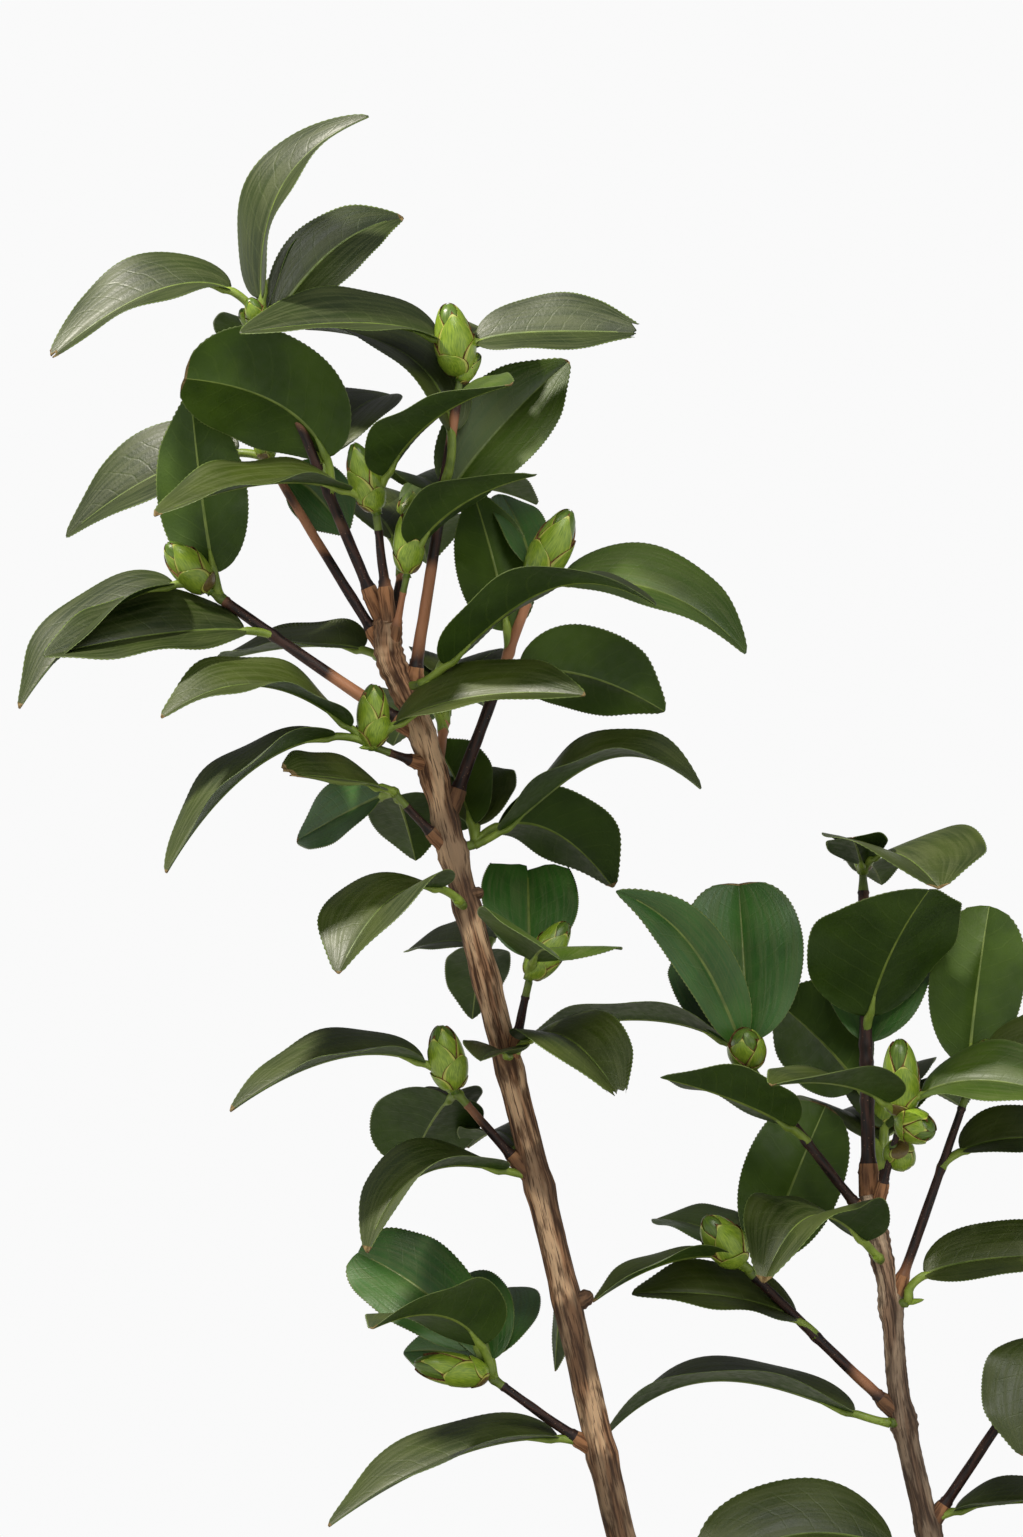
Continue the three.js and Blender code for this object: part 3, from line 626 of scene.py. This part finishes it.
def blade_sheet(axes, blade, half, aside, dice):
    """The points half way through a blade, which is folded along its midrib, rippled and toothed, and the
    way that its face looks at each."""
    middle, along, across, normal = axes(PETIOLE_SHARE + (1 - PETIOLE_SHARE) * blade)
    phase = next(dice)
    waves = 1.3 + 1.2 * next(dice)
    swing = 0.03 + 0.04 * next(dice)
    ripple = swing * aside ** 2 * np.sin(2 * math.pi * (waves * blade + phase) + SIDE)
    lift = half * math.sin(LEAF_FOLD) * (1.25 * aside - 0.25 * aside ** 3) + half * ripple
    toothed = AT_EDGE * (blade > 0.06) * (blade < 0.985) * np.minimum(half / 4, 1)
    saw = np.where(np.arange(BLADE_ROWS + 1) % 2, -0.35, 1)[:, None]
    out = SIDE * (aside * half * math.cos(LEAF_FOLD) + TOOTH * saw * toothed)
    forward = 0.5 * TOOTH * (saw + 1) * toothed
    sheet = middle + across * out[..., None] + normal * lift[..., None]
    return sheet + along * forward[..., None], normal


def blade_faces(sheet, normal, blade, half, aside):
    """A blade's upper and under face, with a groove over its midrib and a ridge under it."""
    thick = BLADE_THICK / 2 * (1 - 0.6 * aside ** 3)
    taper = (1 - 0.85 * blade) * np.minimum(half / 2, 1)
    groove = GROOVE_DEEP * AT_MIDDLE
    ridge = RIB_DEEP * taper * np.where(AT_MIDDLE, 1, np.where(IN_RIB, 0.3, 0))
    return sheet + normal * (thick - groove)[..., None], sheet - normal * (thick + ridge)[..., None]


def blade_finish(upper, under, browned):
    """The finish of each face round a blade: its two sides, margin and midrib, and its last rows if brown."""
    count = len(COLUMNS)
    middle = count // 2
    finish = np.full((BLADE_ROWS, 2 * count), upper)
    finish[:, count:] = under
    finish[:, [0, count - 2, count - 1, count, 2 * count - 2, 2 * count - 1]] = MARGIN
    finish[:, [middle - 1, middle]] = RIB
    finish[:, [2 * count - 2 - middle, 2 * count - 1 - middle]] = UNDER_RIB
    finish[int(BLADE_ROWS * 0.9):, middle - 1:middle + 1] = upper
    if browned > 0:
        finish[-browned:] = SCORCH
    return finish


def add_leaf(sheets, foot, leaf, tones, damage, blunt, dice):
    """A leaf: a toothed blade of two sheets folded along its midrib, and its stalk."""
    axes, length = leaf_axes(foot, leaf)
    half_width = length * (1 + 2 * leaf.arch * leaf.arch) * LEAF_WIDTH_SHARE * leaf.wide / 2
    reach, ragged, brown = damage or (1, 0, False)
    tatter = np.array([1 - 1.5 * ragged * next(dice) for _ in COLUMNS])
    blade = np.linspace(0.004, 0.997, BLADE_ROWS + 1)[:, None] * (reach * tatter)
    half = np.maximum(half_width * blade_shape(blade, blunt), 0.35)
    aside = shares_aside(blade, half)
    sheet, normal = blade_sheet(axes, blade, half, aside, dice)
    top, bottom = blade_faces(sheet, normal, blade, half, aside)
    spots = np.stack([0.5 + 0.5 * SIDE * aside, blade], axis=2)
    browned = 4 if brown else int(4 * next(dice)) - 1
    sheets.sheet(top, bottom, spots, blade_finish(*tones, browned))
    add_petiole(sheets, axes)


def add_petiole(sheets, axes):
    """A leaf's stalk, which runs out under the blade as its midrib begins."""
    shares = np.linspace(0, PETIOLE_END, 16)
    middle, _, across, normal = axes(shares)
    sides = 10
    angles = circle(sides)
    swell = 1 + 0.3 * np.exp(-(shares / 0.018) ** 2)
    past = np.clip((shares - PETIOLE_SHARE) / (PETIOLE_END - PETIOLE_SHARE), 0, 1)
    radius = PETIOLE_RADIUS * swell * (1 - 0.72 * past)
    centre = middle - normal * (0.85 * np.minimum(past * 4, 1) * radius)[:, None]
    ring = (np.cos(angles)[None, :, None] * across[:, None] * 1.1
            - np.sin(angles)[None, :, None] * normal[:, None] * 0.95)
    points = centre[:, None] + ring * radius[:, None, None]
    sheets.grid(points[:, ::-1], unrolled(1, sides, shares), PETIOLE)


# Buds

BUD_SCALE, BUD_RIM, BUD_EDGE, BUD_CORE, BUD_BASE = range(5)


def bud_outline(height):
    """A flower bud's radius at a share of its height, as a share of its greatest radius."""
    height = np.clip(height, 0, 1)
    return np.sin(math.pi * height ** 0.93) ** (0.5 - 0.04 * height)


def round_axis(foot, way, heights, radii, angles):
    """Points round the line from foot along way: their share of the way, their radius and their angle."""
    heights, radii, angles = np.broadcast_arrays(heights, radii, angles)
    ahead = unit(way)
    side = unit(np.cross(ahead, [0.31, 0.87, 0.4]))
    across = np.cross(ahead, side)
    return (foot + way * heights[..., None] + side * (radii * np.cos(angles))[..., None]
            + across * (radii * np.sin(angles))[..., None])


BUD_SIDES = 18
CORE_SHARE = 0.76  # the core's radius against the bud's
BODY_SHARE = 0.78  # the radius that the scales stand off from
USUAL_BUD = 17  # the diameter for which BUD_SCALES is given

# The scales of a flower bud, outermost first: the share of the bud's height that each reaches, how many
# degrees it spreads to each side, and how far it stands off the bud
BUD_SCALES = [(0.2, 92, 2.1), (0.34, 86, 1.85), (0.54, 84, 1.6), (0.7, 82, 1.35), (0.88, 80, 1.1),
              (0.97, 78, 0.85), (1.0, 76, 0.6), (1.0, 74, 0.35)]


def add_bud(sheets, foot, way, diameter, turn):
    """A flower bud: a green body wrapped in broad scales that end in a blunt point."""
    way = np.array(way, float)
    heights = np.concatenate([[-0.06], np.linspace(0.01, 0.985, 12)])
    radii = diameter / 2 * CORE_SHARE * bud_outline(heights) + 0.1
    radii[0] = diameter * 0.14
    points = round_axis(foot, way, heights[:, None], radii[:, None], circle(BUD_SIDES))
    sheets.grid(points, unrolled(1, BUD_SIDES, heights), BUD_CORE)
    for each, (top, spread, lifted) in enumerate(BUD_SCALES):
        finish = BUD_BASE if top < 0.3 else BUD_SCALE
        around = turn + each * math.radians(LEAF_TURN)
        off = lifted * diameter / USUAL_BUD
        add_scale(sheets, foot, way, diameter, top, around, math.radians(spread), off, finish)


# Where a scale's rows and columns lie, closer together near its rim
SCALE_UP = np.array([0, 0.1, 0.2, 0.3, 0.4, 0.5, 0.6, 0.7, 0.78, 0.84, 0.88, 0.92, 0.955, 0.98, 1])
SCALE_ASIDE = np.array([-1, -0.94, -0.82, -0.66, -0.5, -0.3, -0.1, 0.1, 0.3, 0.5, 0.66, 0.82, 0.94, 1])


def add_scale(sheets, foot, way, diameter, top, turn, spread, lifted, finish):
    """One scale of a bud: a curved patch with a blunt point and a thin rim."""
    up = SCALE_UP[:, None]
    aside = SCALE_ASIDE[None, :]
    rows, columns = len(SCALE_UP), len(SCALE_ASIDE)
    width = np.maximum(1 - up ** 2.6, 0) ** 0.6 * 0.98 + 0.02
    heights = top * up * (1 - 0.12 * aside ** 2 * up)
    angles = turn + spread * aside * width
    body = diameter / 2 * BODY_SHARE * bud_outline(heights)
    bulge = lifted * (0.92 + 0.08 * np.cos(aside * math.pi / 2)) * (1 - 0.1 * up ** 3)
    outer = round_axis(foot, way, heights, body + bulge, angles)
    inner = round_axis(foot, way, heights, np.maximum(body - 0.4, 0.02), angles)
    spots = np.stack(np.broadcast_arrays(0.5 + 0.5 * aside, up), axis=2)
    finishes = np.full((rows - 1, 2 * columns), finish)
    finishes[:, [1, columns - 3]] = BUD_RIM
    finishes[-3:-1, 1:columns - 2] = BUD_RIM
    finishes[-2:, :columns] = BUD_EDGE
    finishes[:, [0, columns - 2, columns - 1, 2 * columns - 1]] = BUD_EDGE
    sheets.sheet(outer, inner, spots, finishes)


def add_leaf_bud(sheets, foot, way, length):
    """A small pointed bud in the angle between a leaf and its twig."""
    heights = np.linspace(-0.1, 1, 8)
    sides = 9
    radii = length * 0.2 * np.sqrt(np.clip(1 - np.abs(2 * heights - 0.5) / 1.5, 0.001, 1))
    points = round_axis(foot, unit(way) * length, heights[:, None], radii[:, None], circle(sides))
    sheets.grid(points, unrolled(1, sides, heights), BUD_SCALE)


# Materials

def tint(colour):
    """A colour as light, if it is given as it looks, from 0 to 255. A socket stays as it is."""
    if isinstance(colour, bpy.types.NodeSocket):
        return colour
    return tuple((value / 255) ** 2.2 for value in colour) + (1.0,)


class Look:
    """A material whose nodes are added one call at a time."""

    def __init__(self, name, gloss):
        self.material = bpy.data.materials.new(name)
        self.material.use_nodes = True
        self.tree = self.material.node_tree
        self.shader = self.tree.nodes["Principled BSDF"]
        self.shader.inputs["Specular IOR Level"].default_value = gloss
        self.place = self.node("ShaderNodeTexCoord").outputs["Object"]

    def node(self, kind, inputs=None, **settings):
        made = self.tree.nodes.new(kind)
        for key, value in settings.items():
            setattr(made, key, value)
        for key, value in (inputs or {}).items():
            if isinstance(value, bpy.types.NodeSocket):
                self.tree.links.new(value, made.inputs[key])
            else:
                made.inputs[key].default_value = value
        return made

    def math(self, operation, first, second=0.0):
        return self.node("ShaderNodeMath", {0: first, 1: second}, operation=operation).outputs[0]

    def ramp(self, value, low, high, start=0.0, end=1.0):
        """value carried smoothly from low..high to start..end."""
        inputs = {"Value": value, "From Min": low, "From Max": high, "To Min": start, "To Max": end}
        return self.node("ShaderNodeMapRange", inputs, interpolation_type="SMOOTHSTEP").outputs[0]

    def mix(self, share, first, second):
        inputs = {0: share, 6: tint(first), 7: tint(second)}
        return self.node("ShaderNodeMix", inputs, data_type="RGBA").outputs[2]

    def over(self, under, share, strength, cover):
        """The colour under with the colour cover laid on it where share is high, up to a strength."""
        return self.mix(self.math("MULTIPLY", share, strength), under, cover)

    def noise(self, scale, detail=3.0, place=None, stretch=None):
        """Noise whose scale is in waves a metre, or in waves a unit of the map that place gives."""
        place = place or self.place
        if stretch:
            place = self.node("ShaderNodeMapping", {"Vector": place, "Scale": stretch}).outputs[0]
        inputs = {"Vector": place, "Scale": scale, "Detail": detail}
        return self.node("ShaderNodeTexNoise", inputs).outputs["Fac"]

    def map(self):
        return self.node("ShaderNodeUVMap", uv_map="place").outputs[0]

    def finish(self, colour, roughness, height=None, deep=0.0, strength=0.0):
        """The material, with a bump as deep in metres as told where it has a height."""
        self.tree.links.new(colour, self.shader.inputs["Base Color"])
        self.tree.links.new(roughness, self.shader.inputs["Roughness"])
        if height:
            bump = self.node("ShaderNodeBump", {"Height": height, "Distance": deep, "Strength": strength})
            self.tree.links.new(bump.outputs[0], self.shader.inputs["Normal"])
        return self.material


DUSTY_GREEN = (88, 94, 54)
VEIN_ABOVE = (100, 114, 62)
VEIN_BELOW = (90, 108, 44)
SHADE_GREY_BROWN = (66, 54, 46)


def side_veins(look):
    """How near a spot of the blade is to a side vein, from 0 to 1. The veins leave the midrib and bend
    forward towards the margin."""
    split = look.node("ShaderNodeSeparateXYZ", {0: look.map()})
    across = look.math("SUBTRACT", split.outputs[0], 0.5)
    aside = look.math("MULTIPLY", look.math("ABSOLUTE", across), 2.0)
    bent = look.math("POWER", aside, 1.35)
    wander = look.math("MULTIPLY", look.math("SUBTRACT", look.noise(90), 0.5), 0.07)
    forward = look.math("SUBTRACT", split.outputs[1], look.math("MULTIPLY", bent, 0.2))
    offset = look.math("MULTIPLY", look.math("SIGN", across), 0.023)
    along = look.math("ADD", look.math("ADD", forward, wander), offset)
    rung = look.math("FRACT", look.math("MULTIPLY", along, 9.5))
    far = look.math("ABSOLUTE", look.math("SUBTRACT", rung, 0.5))
    near = look.ramp(far, 0.0, 0.085, 1.0, 0.0)
    return look.math("MULTIPLY", near, look.ramp(aside, 0.62, 0.95, 1.0, 0.0))


def leaf_upper(name, deep, fresh):
    """Leathery upper face: two greens in soft clouds with fine streaks along the blade, faint side veins and
    fine pebbling."""
    look = Look(name, 0.45)
    clouds = look.ramp(look.noise(38, 2), 0.3, 0.7)
    streaks = look.ramp(look.noise(1.0, 4, look.map(), (26.0, 3.0, 1.0)), 0.35, 0.7)
    green = look.mix(clouds, deep, fresh)
    green = look.over(green, streaks, 0.3, DUSTY_GREEN)
    veins = side_veins(look)
    green = look.over(green, veins, 0.08, VEIN_ABOVE)
    rough = look.ramp(streaks, 0.0, 1.0, 0.42, 0.56)
    pebbles = look.math("ADD", look.noise(700, 2), look.math("MULTIPLY", streaks, 0.5))
    height = look.math("SUBTRACT", pebbles, look.math("MULTIPLY", veins, 0.45))
    return look.finish(green, rough, height, 0.0002, 0.45)


def leaf_under(name, deep, fresh):
    """Paler, matt under face with faint raised veins."""
    look = Look(name, 0.3)
    clouds = look.ramp(look.noise(46, 2), 0.3, 0.7)
    veins = side_veins(look)
    green = look.mix(clouds, deep, fresh)
    green = look.over(green, veins, 0.1, VEIN_BELOW)
    rough = look.ramp(look.noise(300, 2), 0.3, 0.7, 0.52, 0.66)
    height = look.math("ADD", look.noise(900, 2), look.math("MULTIPLY", veins, 0.5))
    return look.finish(green, rough, height, 0.0002, 0.45)


def stalk_green(name, pale, deep):
    """Smooth young green, as on leaf stalks and midribs."""
    look = Look(name, 0.45)
    green = look.mix(look.ramp(look.noise(160, 3), 0.32, 0.7), pale, deep)
    rough = look.ramp(look.noise(500, 2), 0.3, 0.7, 0.42, 0.56)
    return look.finish(green, rough, look.noise(1300, 2), 0.00012, 0.4)


def dry_brown(name, pale, deep):
    """Dry brown, as at scorched leaf tips and the edges of bud scales."""
    look = Look(name, 0.2)
    brown = look.mix(look.ramp(look.noise(600, 4), 0.35, 0.65), pale, deep)
    rough = look.ramp(look.noise(300, 2), 0.3, 0.7, 0.65, 0.85)
    return look.finish(brown, rough, look.noise(1500, 3), 0.0002, 0.6)


def bud_scale(name, pale, deep):
    """A bud's scale: glossy, in streaks and soft blotches of its two colours."""
    look = Look(name, 0.5)
    streaks = look.noise(5, 3, look.map(), (9.0, 1.2, 1.0))
    blotches = look.noise(260, 3)
    green = look.mix(look.ramp(streaks, 0.25, 0.75), deep, pale)
    green = look.over(green, look.ramp(blotches, 0.45, 0.75), 0.35, pale)
    return look.finish(green, look.ramp(blotches, 0.3, 0.7, 0.28, 0.4), streaks, 0.0002, 0.3)


def bark_look(name, dark, middle, pale):
    """Bark in long fine streaks, with smoother pale patches, darker stains between, and long grey-brown
    lengths of painted shade.
    """
    look = Look(name, 0.25)
    place = look.map()
    streaks = look.noise(1.0, 6, place, (7.0, 0.5, 1.0))
    patches = look.noise(1.0, 3, place, (1.3, 0.3, 1.0))
    stains = look.noise(1.0, 4, place, (2.4, 0.75, 1.0))
    fissures = look.noise(1.0, 5, place, (14.0, 0.9, 1.0))
    brown = look.mix(look.ramp(streaks, 0.38, 0.6), dark, middle)
    brown = look.over(brown, look.ramp(patches, 0.45, 0.6), 0.75, pale)
    brown = look.over(brown, look.ramp(stains, 0.54, 0.66), 0.7, dark)
    brown = look.over(brown, look.ramp(fissures, 0.45, 0.38), 0.85, dark)
    # Painted shade: long grey-brown lengths stand in for the shade of leaves falling on the stem.
    brown = look.over(brown, look.ramp(look.noise(19, 1), 0.49, 0.55), 0.6, SHADE_GREY_BROWN)
    height = look.math("ADD", fissures, look.math("MULTIPLY", stains, 0.6))
    rough = look.ramp(streaks, 0.3, 0.7, 0.76, 0.94)
    return look.finish(brown, rough, height, 0.0008, 0.7)


def twig_look(name, dark, red, pale, sunlit_tan):
    """Smooth young bark: reddish brown darkened to nearly black as painted shade, with painted sunlit tan in
    long patches, and small pale pores.
    """
    look = Look(name, 0.35)
    place = look.map()
    streaks = look.noise(1.0, 4, place, (7.0, 0.8, 1.0))
    brown = look.mix(look.ramp(streaks, 0.35, 0.65), dark, red)
    # Painted light: long tan patches stand in for sun falling on the twigs.
    brown = look.over(brown, look.ramp(look.noise(24, 1), 0.53, 0.62), 0.8, sunlit_tan)
    pores = look.node("ShaderNodeTexVoronoi", {"Vector": place, "Scale": 6.0}).outputs["Distance"]
    brown = look.over(brown, look.ramp(pores, 0.08, 0.16, 1.0, 0.0), 0.5, pale)
    return look.finish(brown, look.ramp(streaks, 0.3, 0.7, 0.48, 0.66), streaks, 0.0003, 0.45)


BARK_LEFT = bark_look("bark_left", (72, 51, 38), (164, 124, 93), (222, 186, 148))
BARK_RIGHT = bark_look("bark_right", (64, 50, 42), (148, 120, 98), (208, 182, 154))
TWIG_FINISHES = [
    # The near black is painted shade and the tan patches painted sun on the twigs.
    twig_look("twig_bark", (24, 18, 17), (62, 40, 33), (160, 124, 98), (176, 122, 88)),
    stalk_green("young_twig", (104, 122, 50), (78, 94, 38)),
    bark_look("collar", (96, 66, 47), (162, 116, 82), (204, 160, 118)),
]
LEAF_FINISHES = [
    leaf_upper("leaf_deep", (40, 52, 14), (60, 71, 24)),
    leaf_upper("leaf_fresh", (46, 67, 14), (68, 88, 26)),
    leaf_upper("leaf_blue", (36, 70, 22), (56, 96, 36)),
    # Painted shade: the darkest greens, for leaves that stand in shade.
    leaf_upper("leaf_shaded", (31, 43, 13), (46, 58, 20)),
    leaf_under("leaf_under", (38, 56, 12), (50, 70, 18)),
    # Painted light: a paler, yellower under face stands in for light shining through the leaf.
    leaf_under("leaf_under_glowing", (46, 66, 12), (62, 84, 18)),
    stalk_green("leaf_rib", (96, 112, 50), (76, 92, 40)),
    stalk_green("leaf_under_rib", (112, 128, 56), (90, 108, 42)),
    stalk_green("leaf_margin", (92, 108, 52), (72, 88, 38)),
    stalk_green("petiole", (130, 150, 60), (100, 120, 44)),
    dry_brown("leaf_scorch", (122, 106, 72), (86, 70, 44)),
]
BUD_FINISHES = [
    bud_scale("bud_scale", (142, 164, 54), (88, 118, 30)),
    bud_scale("bud_rim", (178, 182, 88), (144, 152, 60)),
    dry_brown("bud_edge", (112, 82, 50), (72, 48, 30)),
    # Painted shade: the core, seen only in the crevices between the scales, is a darker green.
    bud_scale("bud_core_shaded", (92, 116, 42), (62, 86, 26)),
    bud_scale("bud_base", (112, 96, 52), (82, 66, 36)),
]


# The plant, each kind of part apart

def on_stem(stem, shoots):
    """Shoots that know their stem, with their leaves as rows of Leaf."""
    return [shoot._replace(stem=stem, leaves=[Leaf(*leaf) for leaf in shoot.leaves]) for shoot in shoots]


ALL_SHOOTS = on_stem("left_stem", LEFT_SHOOTS) + on_stem("right_stem", RIGHT_SHOOTS)
ALL_SHOOTS += [ruled(*row, number) for number, row in enumerate(RULED_SHOOTS)]
CROWN_FOOT = 640  # the height above which the left stem's shoots are the crown


def group_of(shoot):
    """Which part of the plant a shoot belongs to."""
    if shoot.name.startswith("foot"):
        return "foot"
    if shoot.stem == "right_stem":
        return "right"
    return "crown" if shoot.height > CROWN_FOOT else "middle"


def tones_of(name, number, leaf, roll):
    """The finishes of a leaf's two faces. Upright leaves that face the viewer are the bluest."""
    # Painted shade: leaves that stand in shade get the darkest greens.
    if number in SHADED_LEAVES.get(name, []):
        return UPPER_SHADED, UNDER
    if number in FRESH_LEAVES.get(name, []):
        return UPPER_FRESH, UNDER
    # Painted light: steeply turned leaves, and some at random, get the under face painted with the glow of
    # light through the leaf.
    under = UNDER_GLOWING if abs(leaf.face) > 55 or roll > 0.75 else UNDER
    if leaf.face > 50:
        return UPPER_BLUE, under
    return UPPER_FRESH if roll > 0.55 else UPPER, under


def dress(group, shoots):
    """The twigs, leaves and buds of one part of the plant."""
    twigs, leaves, buds = Sheets(), Sheets(), Sheets()
    for number, shoot in enumerate(shoots):
        dice = random_from(700 + 31 * number + len(group))
        name = shoot.name
        line = shoot_line(shoot)
        add_twig(twigs, shoot, number * 3.7)
        end = unit(line(1.0) - line(0.9))
        for each, leaf in enumerate(shoot.leaves):
            foot = line(leaf.share)
            tones = tones_of(name, each, leaf, next(dice))
            blunt = each in BLUNT_LEAVES.get(name, [])
            add_leaf(leaves, foot, leaf, tones, DAMAGE.get((name, each)), blunt, dice)
            bud_way = unit([leaf.right, leaf.away, leaf.up]) + 1.3 * end
            add_leaf_bud(buds, foot, bud_way, 5 + 2 * next(dice))
        for share, right, away, up, diameter in shoot.buds:
            add_bud(buds, line(share), (right, away, up), diameter, 6 * next(dice))
    masses = [shoot.name for shoot in shoots]
    boughs = [shoot.name.replace("spray", "bough") for shoot in shoots if shoot.bough]
    twigs.piece(group + "_twigs", TWIG_FINISHES, "twig_bark", boughs + masses)
    leaves.piece(group + "_leaves", LEAF_FINISHES, "foliage", masses)
    buds.piece(group + "_buds", BUD_FINISHES, "foliage", masses)


foot_sheets().piece("trunk_foot_bark", [BARK_LEFT], "bark", ["trunk_foot"])
left_bark = stem_sheets("left_stem", seed=0.0)
for stub in STUBS:
    add_stub(left_bark, *stub)
left_bark.piece("left_stem_bark", [BARK_LEFT], "bark", ["left_stem"])
right_bark = stem_sheets("right_stem", seed=31.0)
right_bark.piece("right_stem_bark", [BARK_RIGHT], "bark", ["right_stem"])
for group in ("foot", "middle", "crown", "right"):
    dress(group, [shoot for shoot in ALL_SHOOTS if group_of(shoot) == group])


# Floor, light and camera

FLOOR_RADIUS = 2.3
FLOOR_SIDES = 96


def make_floor():
    """A pale round floor, too small to come into the front view."""
    mesh = bpy.data.meshes.new("floor")
    ring = [(FLOOR_RADIUS * math.cos(angle), FLOOR_RADIUS * math.sin(angle), 0)
            for angle in circle(FLOOR_SIDES)]
    mesh.from_pydata(ring, [], [list(range(FLOOR_SIDES))])
    look = Look("floor", 0.2)
    pale = look.mix(look.noise(6, 3), (196, 195, 192), (206, 205, 202))
    mesh.materials.append(look.finish(pale, look.ramp(look.noise(30, 2), 0.3, 0.7, 0.8, 0.9)))
    floor = bpy.data.objects.new("floor", mesh)
    bpy.context.collection.objects.link(floor)


# How bright the studio is from straight below, 0, through level, 0.5, to straight above, 1
SKY = [(0.0, 0.11), (1.0, 0.24), (0.36, 0.955), (0.57, 0.955), (0.65, 0.17)]


def make_world():
    """A white studio: brightest where it is level, softer above and below."""
    world = bpy.data.worlds.new("studio")
    world.use_nodes = True
    tree = world.node_tree
    place = tree.nodes.new("ShaderNodeTexCoord")
    split = tree.nodes.new("ShaderNodeSeparateXYZ")
    ramp = tree.nodes.new("ShaderNodeValToRGB")
    reach = tree.nodes.new("ShaderNodeMapRange")
    reach.inputs["From Min"].default_value = -1
    tree.links.new(place.outputs["Generated"], split.inputs[0])
    tree.links.new(split.outputs[2], reach.inputs["Value"])
    tree.links.new(reach.outputs[0], ramp.inputs[0])
    stops = ramp.color_ramp.elements
    for each, (height, bright) in enumerate(SKY):
        stop = stops[each] if each < 2 else stops.new(height)
        stop.position = height
        stop.color = (bright, bright, bright, 1)
    tree.links.new(ramp.outputs[0], tree.nodes["Background"].inputs["Color"])
    bpy.context.scene.world = world


# The lamps, which shine on the crown: name, place, size, power and colour
CROWN = Vector((-0.12, 0, 0.6))
LAMPS = [
    ("key", (-1.6, -0.5, 2.8), 0.2, 104, (1.0, 0.94, 0.82)),
    ("front", (0.3, -1.8, 2.5), 1.6, 38, (1.0, 0.98, 0.93)),
    ("fill", (1.8, -1.6, 1.0), 1.4, 4, (1.0, 0.98, 0.95)),
]


def add_lamp(name, place, size, energy, colour):
    data = bpy.data.lights.new(name, "AREA")
    data.shape = "DISK"
    data.size = size
    data.energy = energy
    data.color = colour
    light = bpy.data.objects.new(name, data)
    light.location = place
    light.rotation_euler = (CROWN - Vector(place)).to_track_quat("-Z", "Y").to_euler()
    light.visible_camera = False
    bpy.context.collection.objects.link(light)


# The photograph is 1023 by 1537 pixels. At the plant it shows 0.4 mm a pixel, and the camera looks level.
DISTANCE = 2.5
VIEW_MIDDLE = (-0.1754, 0.6674)  # how far right of the foot's middle, and how high
VIEW_HEIGHT = 1537 * 0.4 * METRES
SENSOR = 36.0


def make_camera():
    data = bpy.data.cameras.new("camera")
    data.sensor_width = SENSOR
    data.lens = SENSOR * DISTANCE / VIEW_HEIGHT
    camera = bpy.data.objects.new("camera", data)
    camera.location = (VIEW_MIDDLE[0], -DISTANCE, VIEW_MIDDLE[1])
    camera.rotation_euler = (math.pi / 2, 0, 0)
    bpy.context.collection.objects.link(camera)
    bpy.context.scene.camera = camera


make_floor()
make_world()
for lamp in LAMPS:
    add_lamp(*lamp)
make_camera()
bpy.context.scene.view_settings.view_transform = "Standard"
